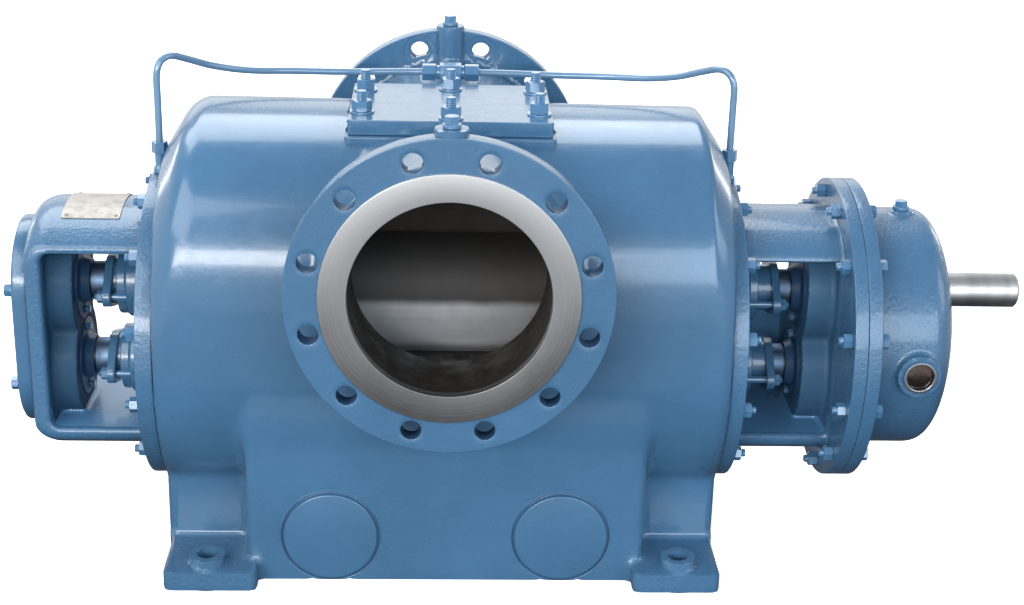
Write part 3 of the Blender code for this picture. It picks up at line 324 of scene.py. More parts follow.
def outline_prism(outline, low, high, edge, axis):
    """Carry a closed outline along an axis, with its rims rounded.

    Each ring is the outline moved inwards by edge * (1 - sin a) at a height edge * (1 - cos a)
    from the end face. An end face is a narrow band and a fan about the outline's middle.
    """
    outline = whole(outline)
    tangent = np.roll(outline, -1, 0) - np.roll(outline, 1, 0)
    normal = np.stack([tangent[:, 1], -tangent[:, 0]], 1)
    normal /= np.linalg.norm(normal, axis=1)[:, None]
    turn = np.radians([0, 22, 45, 68, 90])
    rim = list(zip(edge * (1 - np.cos(turn)), edge * (1 - np.sin(turn))))
    rings = [(low, 1.6 * edge)] + [(low + height, inset) for height, inset in rim]
    rings += [(high - height, inset) for height, inset in rim[::-1]] + [(high, 1.6 * edge)]
    middle = np.tile(outline.mean(0), (len(outline), 1))
    flat = np.array([middle] + [outline - normal * inset for _, inset in rings] + [middle])
    levels = [low] + [level for level, _ in rings] + [high]
    level = np.repeat(np.array(levels)[:, None], len(outline), 1)
    columns = [flat[..., 0], flat[..., 1]]
    columns.insert("XYZ".index(axis), level)
    return np.stack(columns, -1).reshape(-1, 3), grid_faces(len(flat), len(outline))


def dense(outline, step):
    """The same closed outline with points no further apart than the step."""
    pieces = []
    for start, end in zip(outline, np.roll(outline, -1, 0)):
        count = max(1, int(math.ceil(np.linalg.norm(end - start) / step)))
        share = np.arange(count)[:, None] / count
        pieces.append(start + (end - start) * share)
    return np.vstack(pieces)


def arc(centre, radius, start, end, steps):
    """Points round part of a circle, angles in degrees, both ends included."""
    a = np.radians(np.linspace(start, end, steps + 1))
    return np.stack([centre[0] + radius * np.cos(a), centre[1] + radius * np.sin(a)], 1)


def round_box(low, high, corner):
    """A closed rectangle outline with rounded corners."""
    middles = ((high[0] - corner, high[1] - corner, 0), (low[0] + corner, high[1] - corner, 90),
               (low[0] + corner, low[1] + corner, 180), (high[0] - corner, low[1] + corner, 270))
    return np.vstack([arc((u, v), corner, start, start + 90, 7) for u, v, start in middles])


def swept(path, radius, sides):
    """A round tube along a path: rings square to it, turned as little as can be."""
    path = whole(path)
    tangent = np.gradient(path, axis=0)
    tangent /= np.linalg.norm(tangent, axis=1)[:, None]
    side = np.zeros_like(path)
    side[0] = axes_of(tangent[0])[1]
    for i in range(1, len(path)):
        kept = side[i - 1] - tangent[i] * (side[i - 1] @ tangent[i])
        side[i] = kept / np.linalg.norm(kept)
    up = np.cross(tangent, side)
    angle = np.linspace(0, math.tau, sides, endpoint=False)
    points = (path[:, None] + radius * (np.cos(angle)[None, :, None] * side[:, None]
                                        + np.sin(angle)[None, :, None] * up[:, None]))
    return points.reshape(-1, 3), grid_faces(len(path), sides) + end_faces(len(path), sides)


def smooth_route(route, parts=8):
    """A Catmull-Rom curve: each span is the cubic that has its neighbours' chord slopes."""
    knots = whole(route)
    knots = np.vstack([2 * knots[0] - knots[1], knots, 2 * knots[-1] - knots[-2]])
    a, b, c, d = (knots[i:len(knots) - 3 + i, None] for i in range(4))
    t = np.linspace(0, 1, parts, endpoint=False)[None, :, None]
    spans = 0.5 * (2 * b + (c - a) * t + (2 * a - 5 * b + 4 * c - d) * t ** 2
                   + (3 * b - a - 3 * c + d) * t ** 3)
    return np.vstack([spans.reshape(-1, 3), knots[-2]])


# Distance fields for castings: below zero inside, above zero outside

def field_join(a, b, fillet):
    """Two solids in one, with a fillet of that radius where they meet."""
    u, v = np.maximum(fillet - a, 0), np.maximum(fillet - b, 0)
    return np.maximum(fillet, np.minimum(a, b)) - np.sqrt(u * u + v * v)


def field_common(a, b, edge):
    """What two solids share, with the edge where they cross rounded to that radius."""
    u, v = np.maximum(a + edge, 0), np.maximum(b + edge, 0)
    return np.minimum(-edge, np.maximum(a, b)) + np.sqrt(u * u + v * v)


def field_cut(a, b, edge):
    """The first solid without the second, with the new edge rounded to that radius."""
    return field_common(a, -b, edge)


def slab(t, low, high):
    return np.abs(t - (low + high) / 2) - (high - low) / 2


def disc(u, v, centre, radius):
    return np.sqrt((u - centre[0]) ** 2 + (v - centre[1]) ** 2) - radius


def rectangle(u, v, low, high, corner):
    """Distance to a rectangle with rounded corners, across u and v."""
    across = np.abs(u - (low[0] + high[0]) / 2) - (high[0] - low[0]) / 2 + corner
    up = np.abs(v - (low[1] + high[1]) / 2) - (high[1] - low[1]) / 2 + corner
    outside = np.sqrt(np.maximum(across, 0) ** 2 + np.maximum(up, 0) ** 2)
    return outside + np.minimum(np.maximum(across, up), 0) - corner


def upright_oval(y, z, centre_z, lift, radius, power=2.0):
    """Distance to a half circle below, straight sides, and a half superellipse on top.

    Above the lift the distance is its implicit value divided by the value's slope.
    """
    low = np.sqrt(y ** 2 + np.minimum(z - centre_z, 0) ** 2) - radius
    up = np.maximum(z - centre_z - lift, 0)
    across = np.abs(y)
    total = across ** power + up ** power + 1e-12
    size = total ** (1 / power)
    slope = np.sqrt(across ** (2 * power - 2) + up ** (2 * power - 2) + 1e-12) / total ** (
        (power - 1) / power)
    return np.where(up > 0, (size - radius) / slope, low)


def crossed_edges(value, lines, axis, cell):
    """The edges of a grid along one axis whose two ends lie on either side of a surface.

    Gives each one's spot, where the value between its ends is zero, the four cells round it,
    and the same four in the order that makes a quad face outwards.
    """
    counts = [len(line) - 1 for line in lines]
    lower, upper = [slice(None)] * 3, [slice(None)] * 3
    lower[axis], upper[axis] = slice(None, -1), slice(1, None)
    edge = np.nonzero((value[tuple(lower)] < 0) != (value[tuple(upper)] < 0))
    others = [i for i in range(3) if i != axis]
    within = np.ones(len(edge[0]), bool)
    for i in others:
        within &= (edge[i] > 0) & (edge[i] < counts[i])
    edge = [ids[within] for ids in edge]
    step = [ids + (i == axis) for i, ids in enumerate(edge)]
    first, second = value[tuple(edge)], value[tuple(step)]
    spot = np.stack([lines[i][edge[i]] for i in range(3)], 1).astype(float)
    spot[:, axis] += cell * first / (first - second)
    cells = []
    for back in ((0, 0), (1, 0), (1, 1), (0, 1)):
        ids = list(edge)
        for i, less in zip(others, back):
            ids[i] = ids[i] - less
        cells.append((ids[0] * counts[1] + ids[1]) * counts[2] + ids[2])
    cells = np.stack(cells, 1)
    quad = cells.copy()
    flip = (first < 0) == (axis != 1)
    quad[~flip] = quad[~flip][:, ::-1]
    return spot, cells, quad


def skin(field, low, high, cell):
    """The surface where a field is zero, as a mesh of quads.

    Every cell of a regular grid that the surface crosses gets one point, placed where the
    tangent planes at its crossed edges come closest together, so that edges stay crisp.
    Every crossed grid edge gives one quad between the four cells round it, and no point
    leaves its cell.
    """
    lines = [np.arange(a, b + cell, cell, dtype=np.float32) for a, b in zip(low, high)]
    value = field(lines[0][:, None, None], lines[1][None, :, None], lines[2][None, None, :])
    value = np.broadcast_to(value, [len(line) for line in lines])
    found = [crossed_edges(value, lines, axis, cell) for axis in range(3)]
    spots, owners, quads = (np.concatenate(group) for group in zip(*found))
    cells, faces = np.unique(quads, return_inverse=True)
    faces = faces.reshape(quads.shape)
    member = np.searchsorted(cells, owners).ravel()
    spot, normal = np.repeat(spots, 4, 0), np.repeat(field_normals(field, spots), 4, 0)
    count = np.bincount(member)
    middle = np.stack([np.bincount(member, spot[:, i]) for i in range(3)], 1) / count[:, None]
    gap = ((spot - middle[member]) * normal).sum(1)
    pull = np.stack([np.bincount(member, normal[:, i] * gap) for i in range(3)], 1)
    spread = np.zeros((len(cells), 3, 3))
    for i in range(3):
        for j in range(3):
            spread[:, i, j] = np.bincount(member, normal[:, i] * normal[:, j])
    spread += np.eye(3) * 0.08
    points = middle + np.linalg.solve(spread, pull[..., None])[..., 0]
    numbers = np.unravel_index(cells, [len(line) - 1 for line in lines])
    corner = np.stack(numbers, 1) * cell + whole(low)
    return np.clip(points, corner, corner + cell), faces


def field_normals(field, points, step=0.0002):
    """The direction in which a field grows fastest, from its differences either way."""
    slopes = []
    for axis in range(3):
        shift = np.zeros(3)
        shift[axis] = step
        ahead, behind = points + shift, points - shift
        slopes.append(field(ahead[:, 0], ahead[:, 1], ahead[:, 2])
                      - field(behind[:, 0], behind[:, 1], behind[:, 2]))
    normal = np.stack(slopes, 1)
    return normal / np.maximum(np.linalg.norm(normal, axis=1), 1e-12)[:, None]


def face_middles(shape):
    points, faces = shape
    return points[np.asarray(faces)].mean(1)


# Fields of this pump's castings

def shoulder_top(inset, end_top, crown, run, rounding):
    """The crown's height at a distance from an end face: a slope, then an arc into the crown."""
    slope = math.atan2(crown - end_top, run)
    reach = rounding * math.tan(slope / 2)
    sloped = end_top + inset * math.tan(slope)
    short = np.clip(run + reach - inset, 0, rounding)
    arched = crown - rounding + np.sqrt(np.maximum(rounding ** 2 - short ** 2, 0))
    start = run - reach * math.cos(slope)
    return np.where(inset < start, sloped, np.where(inset < run + reach, arched, crown))


def barrel_field(x, y, z):
    """The casing's body: an upright oval whose crown slopes down to both end faces."""
    left, right = x - BODY_LEFT_X, BODY_RIGHT_X - x
    crown = LEFT_CROWN_Z + (RIGHT_CROWN_Z - LEFT_CROWN_Z) * left / (BODY_RIGHT_X - BODY_LEFT_X)
    left_drop = LEFT_CROWN_Z - shoulder_top(
        left, LEFT_SHOULDER_Z, LEFT_CROWN_Z, LEFT_SHOULDER_RUN, LEFT_SHOULDER_ROUNDING)
    right_drop = RIGHT_CROWN_Z - shoulder_top(
        right, RIGHT_SHOULDER_Z, RIGHT_CROWN_Z, RIGHT_SHOULDER_RUN, RIGHT_SHOULDER_ROUNDING)
    top = crown - left_drop - right_drop
    closeness = np.maximum(0, 1 - np.minimum(left, right) / BODY_EDGE)
    radius = BODY_RADIUS - (BODY_RADIUS - BODY_END_RADIUS) * closeness ** 2
    round_body = upright_oval(y, z, AXIS_Z, top - AXIS_Z - radius, radius, CROWN_POWER)
    return field_common(round_body * 0.8, slab(x, BODY_LEFT_X, BODY_RIGHT_X), 0.003)


def chamber_field(x, y, z):
    """Both fluid chambers and the two nozzle bores that open into them."""
    oval_room = upright_oval(y, z, CHAMBER_Z, CHAMBER_LIFT, CHAMBER_RADIUS)
    room = field_common(oval_room, slab(x, -CHAMBER_HALF_X, CHAMBER_HALF_X), 0.020)
    room = field_common(room, CHAMBER_FLOOR_Z - z, 0.008)
    bore = field_common(disc(x, z, (0, NOZZLE_Z), BORE_RADIUS), 0.060 - np.abs(y), 0.004)
    both = field_join(room, bore, 0.004)
    return field_common(both, DIVIDER_HALF_Y - np.abs(y), 0.010)


def flange_core(x, y, z, low, high, radius):
    """The cast middle of a flange, which lies just under its turned rim's faces."""
    return field_common(disc(y, z, (0, AXIS_Z), radius - RIM_COVER),
                        slab(x, low + RIM_SINK, high - RIM_SINK), RIM_CORE_EDGE)


def casing_field(x, y, z):
    """The whole casting: body, base, feet, nozzle necks and bosses, less its hollows."""
    solid = barrel_field(x, y, z)
    nozzle = (0, NOZZLE_Z)
    legs = rectangle(x, y, (LEG_LOW_X, -LEG_HALF_Y), (LEG_HIGH_X, LEG_HALF_Y), 0.012)
    legs = field_common(legs, slab(z, 0, LEG_TOP_Z), CAST_EDGE)
    panel = rectangle(x, y, (-PANEL_HALF_X, -PANEL_HALF_Y), (PANEL_HALF_X, PANEL_HALF_Y), 0.014)
    panel = field_common(panel, slab(z, 0, PANEL_TOP_Z), CAST_EDGE)
    solid = field_join(solid, legs, LEG_FILLET)
    below = np.clip((PANEL_TOP_Z - 0.012 - z) / 0.080, 0, 1)
    solid = field_join(solid, panel, 0.0004 + 0.016 * below * below * (3 - 2 * below))
    for low, high, bolt_x in FEET:
        foot = rectangle(x, y, (low, -FOOT_HALF_Y), (high, FOOT_HALF_Y), 0.010)
        foot = field_common(foot, slab(z, 0, FOOT_HEIGHT), 0.0035)
        boss = disc(x, np.abs(y), (bolt_x, FOOT_BOLT_Y), FOOT_BOSS_RADIUS)
        boss = field_common(boss, slab(z, 0, FOOT_BOSS_TOP), 0.0015)
        solid = field_join(solid, field_join(foot, boss, 0.005), FOOT_FILLET)
    end = FLANGE_FACE_Y - 0.010
    neck = field_common(disc(x, z, nozzle, NECK_RADIUS), slab(np.abs(y), 0.1, end), 0.001)
    solid = field_join(solid, neck, NECK_FILLET)
    flange = field_common(disc(x, z, nozzle, NECK_RADIUS + 0.012),
                          slab(np.abs(y), FLANGE_FACE_Y - FLANGE_THICKNESS + 0.0001, end), 0.001)
    solid = field_join(solid, flange, 0.006)
    gauge = field_common(disc(x, np.abs(y), (0, GAUGE_BOSS_Y), GAUGE_BOSS_RADIUS),
                         slab(z, NOZZLE_Z + 0.12, GAUGE_BOSS_TOP), CAST_EDGE)
    solid = field_join(solid, gauge, GAUGE_FILLET)
    solid = np.maximum(field_common(solid, slab(x, BODY_LEFT_X, BODY_RIGHT_X), CAST_EDGE), -z)
    pad_x, pad_y = COVER_HALF_X + 0.0015, COVER_HALF_Y + 0.020
    above_pad = field_common(rectangle(x, y, (-pad_x, -pad_y), (pad_x, pad_y), 0.004),
                             COVER_BOTTOM_Z - 0.0004 - z, 0.0005)
    solid = field_cut(solid, above_pad, 0.0025)
    recess = np.maximum(disc(np.abs(x), z, (ROUND_PAD_X, ROUND_PAD_Z), ROUND_PAD_RADIUS + 0.0045),
                        PANEL_HALF_Y - 0.0050 - np.abs(y))
    solid = np.maximum(solid, -recess)
    solid = field_cut(solid, chamber_field(x, y, z), 0.003)
    seat = upright_oval(y, z, DRIVEN_Z, DRIVE_Z - DRIVEN_Z, BARREL_RADIUS + SEAT_GAP)
    seat = np.maximum(seat, slab(x, -BARREL_HALF_X - SEAT_GAP, BARREL_HALF_X + SEAT_GAP))
    solid = np.maximum(solid, -seat)
    for height in SHAFT_HEIGHTS.values():
        solid = np.maximum(solid, -disc(y, z, (0, height), SEAL_BORE))
    for low, high, bolt_x in FEET:
        hole = np.maximum(disc(x, np.abs(y), (bolt_x, FOOT_BOLT_Y), FOOT_HOLE_RADIUS), z - 0.06)
        solid = field_cut(solid, hole, 0.0012)
    return solid


def with_housing(solid, x, y, z, side, low, high):
    """The solid joined to a bearing housing: two round bosses with a fillet between them.

    The caps' shallow seats, the shafts' bores and the seal plate's recess are cut from it.
    """
    out = SIDES[side] * x
    upper, lower = (disc(y, z, (0, height), HOUSING_RADIUS) for height in SHAFT_HEIGHTS.values())
    housing = field_join(upper, lower, HOUSING_FILLET)
    housing = field_common(housing, slab(x, low, high), HOUSING_EDGE)
    solid = field_join(solid, housing, 0.007)
    for height in SHAFT_HEIGHTS.values():
        seat = np.maximum(disc(y, z, (0, height), CAP_RADIUS + SEAT_GAP),
                          out - HOUSING_FACE[side] - CAP_SEAT_DEPTH)
        solid = field_cut(solid, np.maximum(seat, SEAT_START[side] - out), 0.001)
        bore = disc(y, z, (0, height), SHAFT_RADIUS + RUN_GAP)
        solid = np.maximum(solid, -np.maximum(bore, out - BORE_END[side]))
    recess = np.maximum(disc(y, z, (0, AXIS_Z), SEAL_PLATE_RADIUS),
                        out - FLANGE_FACE[side] - 0.002)
    return np.maximum(solid, -recess)


def bracket_left_field(x, y, z):
    """The bracket away from the drive: an open lantern, its end wall and bearing housing."""
    tube = disc(y, z, (0, AXIS_Z), LANTERN_RADIUS)
    lantern = np.maximum(field_common(tube, (LEFT_END_X - x) * 0.625, 0.020), x - LEFT_ROOT_X)
    lantern = field_common(lantern, np.abs(y) - LANTERN_HALF_Y, LANTERN_EDGE)
    window = rectangle(x, z, (LEFT_WALL_X, WINDOW_LOW_Z), (LEFT_FLANGE_X + 0.001, WINDOW_HIGH_Z),
                       0.014)
    lantern = field_cut(lantern, window, WINDOW_EDGE)
    flange = flange_core(x, y, z, LEFT_FLANGE_X, -BODY_FACE["left"], LEFT_FLANGE_RADIUS)
    solid = field_join(lantern, flange, BRACKET_FILLET)
    return with_housing(solid, x, y, z, "left", LEFT_WALL_X - 0.006, LEFT_HOUSING_X)


def bracket_right_field(x, y, z):
    """The drive-end bracket: a lantern closed low at its rear, a housing and an end plate."""
    lantern = np.maximum(disc(y, z, (0, AXIS_Z), LANTERN_RADIUS), slab(x, RIGHT_ROOT_X, RIGHT_TIP_X))
    lantern = field_common(lantern, np.abs(y) - LANTERN_HALF_Y, LANTERN_EDGE)
    low, high = RIGHT_FLANGE_X - 0.001, RIGHT_END_X + 0.001
    window = rectangle(x, z, (low, WINDOW_LOW_Z), (high, WINDOW_HIGH_Z), 0.012)
    window = field_common(window, y - RIGHT_REAR_WALL_Y, 0.004)
    lantern = field_cut(lantern, window, WINDOW_EDGE)
    upper = rectangle(x, z, (low, RIGHT_REAR_SILL_Z), (high, WINDOW_HIGH_Z), 0.012)
    lantern = field_cut(lantern, field_common(upper, -y, 0.001), 0.004)
    flange = flange_core(x, y, z, BODY_FACE["right"], RIGHT_FLANGE_X, RIGHT_FLANGE_RADIUS)
    plate = flange_core(x, y, z, RIGHT_END_X, RIGHT_PLATE_X - SEAT_GAP, RIGHT_PLATE_RADIUS)
    solid = field_join(field_join(lantern, flange, BRACKET_FILLET), plate, BRACKET_FILLET)
    return with_housing(solid, x, y, z, "right", RIGHT_HOUSING_X, RIGHT_END_X + 0.006)


def gear_cover_field(x, y, z):
    """The gear cover: a round body whose end is a superellipse, a rim, and two bosses.

    The dome's distance is its implicit value divided by the value's slope.
    """
    run, depth = GEAR_END_X - GEAR_STRAIGHT_X, GEAR_RADIUS + GEAR_DOME_INSET
    radius = np.sqrt(y ** 2 + (z - GEAR_Z) ** 2)
    u = np.maximum(x - GEAR_STRAIGHT_X, 0) / run
    v = (radius + GEAR_DOME_INSET) / depth
    total = u ** GEAR_DOME_POWER + v ** GEAR_DOME_POWER
    size = total ** (1 / GEAR_DOME_POWER)
    slope = np.sqrt((u ** (GEAR_DOME_POWER - 1) / run) ** 2
                    + (v ** (GEAR_DOME_POWER - 1) / depth) ** 2) / size ** (GEAR_DOME_POWER - 1)
    body = np.maximum((size - 1) / slope, RIGHT_PLATE_X + 0.002 - x)
    rim = flange_core(x, y, z, RIGHT_PLATE_X, GEAR_RIM_X, GEAR_RIM_RADIUS)
    solid = field_join(body, rim, 0.007)
    sight = field_common(disc(x, z, (SIGHT_X, SIGHT_Z), SIGHT_BOSS_RADIUS),
                         slab(y, -SIGHT_BOSS_Y, -0.12), 0.0015)
    solid = field_join(solid, sight, 0.005)
    filler = field_common(disc(x, y, (FILLER_X, 0), FILLER_BOSS_RADIUS),
                          slab(z, 0.43, FILLER_BOSS_TOP), 0.0012)
    solid = field_join(solid, filler, 0.004)
    pocket = np.maximum(disc(x, z, (SIGHT_X, SIGHT_Z), PANE_RADIUS + 0.0006), y + 0.160)
    solid = field_cut(solid, pocket, 0.0008)
    return field_cut(solid, disc(y, z, (0, DRIVE_Z), SHAFT_END_RADIUS + RUN_GAP), 0.001)


# Repeated hardware

def placed(shape, centre, direction, turn=0.0):
    """Stand a shape built along +Z at a place, along a direction, turned about it."""
    points, faces = shape
    along, across, up = axes_of(direction)
    a = math.radians(turn)
    first = across * math.cos(a) + up * math.sin(a)
    second = up * math.cos(a) - across * math.sin(a)
    frame_of = np.stack([first, second, along])
    return whole(points) @ frame_of + whole(centre), faces


def hexagon(flats, height, steps=36):
    """A hexagon nut along +Z: six flats, cut back by a 30 degree cone at both ends.

    At an angle from a flat's middle the radius is half the flats / cos(angle), and the
    cone lowers the rim by (radius - 0.96 * half the flats) * tan 30.
    """
    angle = np.linspace(0, math.tau, steps, endpoint=False)
    flat = math.tau / 6
    reach = flats / 2 / np.cos((angle + flat / 2) % flat - flat / 2)
    cone = 0.96 * flats / 2
    drop = (reach - cone) * math.tan(math.radians(30))
    rows = [(cone, 0 * drop), (reach, drop), (reach, height - drop), (cone, height + 0 * drop)]
    grid = np.array([np.stack([np.cos(angle) * radius, np.sin(angle) * radius, level], 1)
                     for radius, level in rows])
    faces = grid_faces(len(rows), steps) + end_faces(len(rows), steps)
    return grid.reshape(-1, 3), faces


def lifted(shape, height):
    points, faces = shape
    return points + whole((0, 0, height)), faces


def stud(radius, length, pitch=0.0022, steps=18):
    """A threaded end along +Z: the radius dips to nine tenths at each groove, then tapers off."""
    count = max(3, int(length / pitch))
    level = np.linspace(0, length, 2 * count + 1)
    wave = np.where(np.arange(len(level)) % 2, radius, radius * 0.90)
    wave[-2:] = radius * 0.97, radius * 0.82
    profile = np.vstack([[0, 0], np.stack([level, wave], 1), [length, 0]])
    return turned(profile, ORIGIN, UPWARD, steps)


def stud_and_nut(flats, height, reach, washer=0.0):
    """A nut, the end of the stud that stands out of it, and a washer where there is one."""
    base = WASHER_THICKNESS if washer else 0.0
    shapes = [lifted(hexagon(flats, height), base),
              lifted(stud(flats * 0.31, reach), base + height - 0.001)]
    if washer:
        shapes.insert(0, turned(drum(0.0, base, washer, edge=0.0004), ORIGIN, UPWARD, 28))
    return joined(shapes)


def cap_screw(flats, height):
    """A hexagon head with a round flange under it, along +Z."""
    collar = turned(drum(0.0, 0.0016, flats * 0.56, edge=0.0004), ORIGIN, UPWARD, 28)
    return joined([collar, lifted(hexagon(flats, height - 0.001), 0.001)])


def around(x, height, radius, degrees):
    """A place on a circle about an axis along X, its angle from +Y towards +Z."""
    a = math.radians(degrees)
    return x, radius * math.cos(a), height + radius * math.sin(a)


def two_lobed(radius):
    """An outline round both shafts: half a circle over the upper, half under the lower."""
    return np.vstack([arc((0, DRIVE_Z), radius, 0, 180, 40),
                      arc((0, DRIVEN_Z), radius, 180, 360, 40)])


def flange_rim(low, high, radius):
    """A turned ring that gives a cast flange its crisp faces and rim."""
    return turned(tube_profile(low, high, RIM_BORE, radius, 0.0015), (0, 0, AXIS_Z), ALONG, 144)


def hexagon_plug(x, y, bottom, top):
    """A round collar and the hexagon head on it."""
    collar = drum(bottom + SEAT_GAP, bottom + 0.005, PLUG_COLLAR_RADIUS, 0.0008)
    head = hexagon(PLUG_RADIUS * HEXAGON_FLATS, top - bottom - 0.0045)
    return [turned(collar, (x, y, 0), UPWARD, 48),
            placed(head, (x, y, bottom + 0.0045), UPWARD, 20)]


def sector_border(low, high):
    """One bolt's sector of a flange: its outer arc, a side, the inner arc and the other side."""
    half = math.pi / BOLT_COUNT
    across = np.linspace(-half, half, 9)[:-1]
    up = np.linspace(low, high, 8)[:-1]
    radii = np.concatenate([high + 0 * across, up[::-1] + (high - low) / 7, low + 0 * across, up])
    angles = np.concatenate([across[::-1] + 2 * half / 8, -half + 0 * up, across, half + 0 * up])
    return np.stack([radii * np.sin(angles), radii * np.cos(angles)], 1)


def drilled_flange(front):
    """A nozzle flange: twelve sectors, each a grid round its bolt hole, and a turned rim.

    A sector's rows run from its border on the face, over the rounded lip of the hole, down
    the hole, out over the spotface, to its border on the back. Its columns are the border's
    points, and each hole point is the border point's direction from the hole's centre.
    """
    inner, outer, back_inner = RAISED_RADIUS - 0.004, FLANGE_RADIUS - 0.0022, NECK_RADIUS + 0.003
    face, back = FLANGE_FACE_Y, FLANGE_FACE_Y - FLANGE_THICKNESS
    hole, spot, lip = BOLT_HOLE_RADIUS, BOLT_HOLE_RADIUS + 0.0095, 0.0008
    rings = ((hole + 0.0065, face), (hole + lip, face), (hole + lip * 0.3, face - lip * 0.3),
             (hole, face - lip), (hole, back + 0.0012), (hole + 0.0004, back + 0.0008),
             (spot - 0.0003, back + 0.0008), (spot, back + 0.0003), (spot + 0.0006, back))
    centre = whole((0, BOLT_CIRCLE))
    border = sector_border(inner, outer)
    ray = (border - centre) / np.linalg.norm(border - centre, axis=1)[:, None]
    flat = np.array([border] + [centre + ray * radius for radius, _ in rings]
                    + [sector_border(back_inner, outer)])
    levels = np.array([face] + [level for _, level in rings] + [back])
    y = np.repeat(front * levels[:, None], flat.shape[1], 1)
    faces = grid_faces(len(levels), flat.shape[1])
    if front > 0:
        faces = [corners[::-1] for corners in faces]
    shapes = []
    for i in range(BOLT_COUNT):
        turn = math.tau * (i + 0.5) / BOLT_COUNT
        x = flat[..., 0] * math.cos(turn) + flat[..., 1] * math.sin(turn)
        z = flat[..., 1] * math.cos(turn) - flat[..., 0] * math.sin(turn)
        shapes.append((np.stack([x, y, z + NOZZLE_Z], -1).reshape(-1, 3), faces))
    rim = rounded([(back, outer), (back, FLANGE_RADIUS), (face, FLANGE_RADIUS), (face, outer)],
                  (0.002, 0.002))
    for profile in (rim, [(face, inner), (back, back_inner)]):
        shapes.append(turned(profile, (0, 0, NOZZLE_Z), (0, front, 0), 96))
    return joined(shapes)


def gland_shape(side, height):
    """A gland from its distance field: a waist and two ears in one plate, a nose and a bore.

    The distance to a tapering bar with round ends, from the waist's circle to an ear's, is
    taken where the two circles' common tangents touch them.
    """
    sign = SIDES[side]
    face = BODY_FACE[side] + BOX_LENGTH[side]
    low = face + GLAND_GAP[side]
    turn = math.radians(GLAND_TILT)
    lean = (GLAND_WAIST_RADIUS - GLAND_EAR_RADIUS) / GLAND_EAR_DISTANCE
    slope = math.sqrt(1 - lean * lean)

    def field(x, y, z):
        out = sign * x
        along = np.abs(y * math.cos(turn) + (z - height) * math.sin(turn))
        across = np.abs((z - height) * math.cos(turn) - y * math.sin(turn))
        reach = slope * along - lean * across
        waist = np.sqrt(along ** 2 + across ** 2) - GLAND_WAIST_RADIUS
        ear = np.sqrt((along - GLAND_EAR_DISTANCE) ** 2 + across ** 2) - GLAND_EAR_RADIUS
        flank = lean * along + slope * across - GLAND_WAIST_RADIUS
        plate = np.where(reach < 0, waist, np.where(reach > GLAND_EAR_DISTANCE * slope, ear, flank))
        solid = field_common(plate, slab(out, low, low + GLAND_THICKNESS), 0.0012)
        nose = field_common(disc(y, z, (0, height), GLAND_NOSE_RADIUS), slab(out, face, low + 0.004),
                            0.0008)
        solid = field_join(solid, nose, 0.0012)
        return field_cut(solid, disc(y, z, (0, height), SLEEVE_RADIUS + RUN_GAP), 0.0008)

    lowest, highest = sorted((sign * (face - 0.004), sign * (low + GLAND_THICKNESS + 0.004)))
    return skin(field, (lowest, -0.064, height - 0.044), (highest, 0.064, height + 0.044), 0.0016)


# Shader expressions and finishes

class Signal:
    """A shader socket that adds Math nodes when it is reckoned with."""

    def __init__(self, graph, socket):
        self.graph = graph
        self.socket = socket

    def reckon(self, operation, first, second=0.0, clamp=False):
        choices = {"operation": operation, "use_clamp": clamp}
        return self.graph.node("ShaderNodeMath", "Value", choices, {0: first, 1: second})

    def __add__(self, other):
        return self.reckon("ADD", self, other)

    def __radd__(self, other):
        return self.reckon("ADD", other, self)

    def __sub__(self, other):
        return self.reckon("SUBTRACT", self, other)

    def __rsub__(self, other):
        return self.reckon("SUBTRACT", other, self)

    def __mul__(self, other):
        return self.reckon("MULTIPLY", self, other)

    def __rmul__(self, other):
        return self.reckon("MULTIPLY", other, self)

    def __pow__(self, other):
        return self.reckon("POWER", self, other)

    def clipped(self):
        return self.reckon("ADD", self, 0.0, True)

    def most(self, other):
        return self.reckon("MAXIMUM", self, other)


class Graph:
    """The nodes of a material or world: one shader, and others added one call at a time."""

    def __init__(self, owner, shader, output):
        self.owner = owner
        owner.use_nodes = True
        self.tree = owner.node_tree
        self.tree.nodes.clear()
        self.shader = self.tree.nodes.new(shader)
        self.tree.links.new(self.shader.outputs[0], self.tree.nodes.new(output).inputs[0])

    def node(self, kind, output, choices, inputs):
        """Add any node: its choices first, then the values or links of its sockets."""
        made = self.tree.nodes.new(kind)
        for name, value in choices.items():
            setattr(made, name, value)
        for name, value in inputs.items():
            if isinstance(value, Signal):
                self.tree.links.new(value.socket, made.inputs[name])
            else:
                made.inputs[name].default_value = value
        return Signal(self, made.outputs[output])

    def feed(self, **sockets):
        """Link signals into the shader's sockets, and give what the nodes belong to."""
        for name, value in sockets.items():
            self.tree.links.new(value.socket, self.shader.inputs[name.replace("_", " ")])
        return self.owner

    def part(self, axis, vector):
        return self.node("ShaderNodeSeparateXYZ", axis, {}, {"Vector": vector})


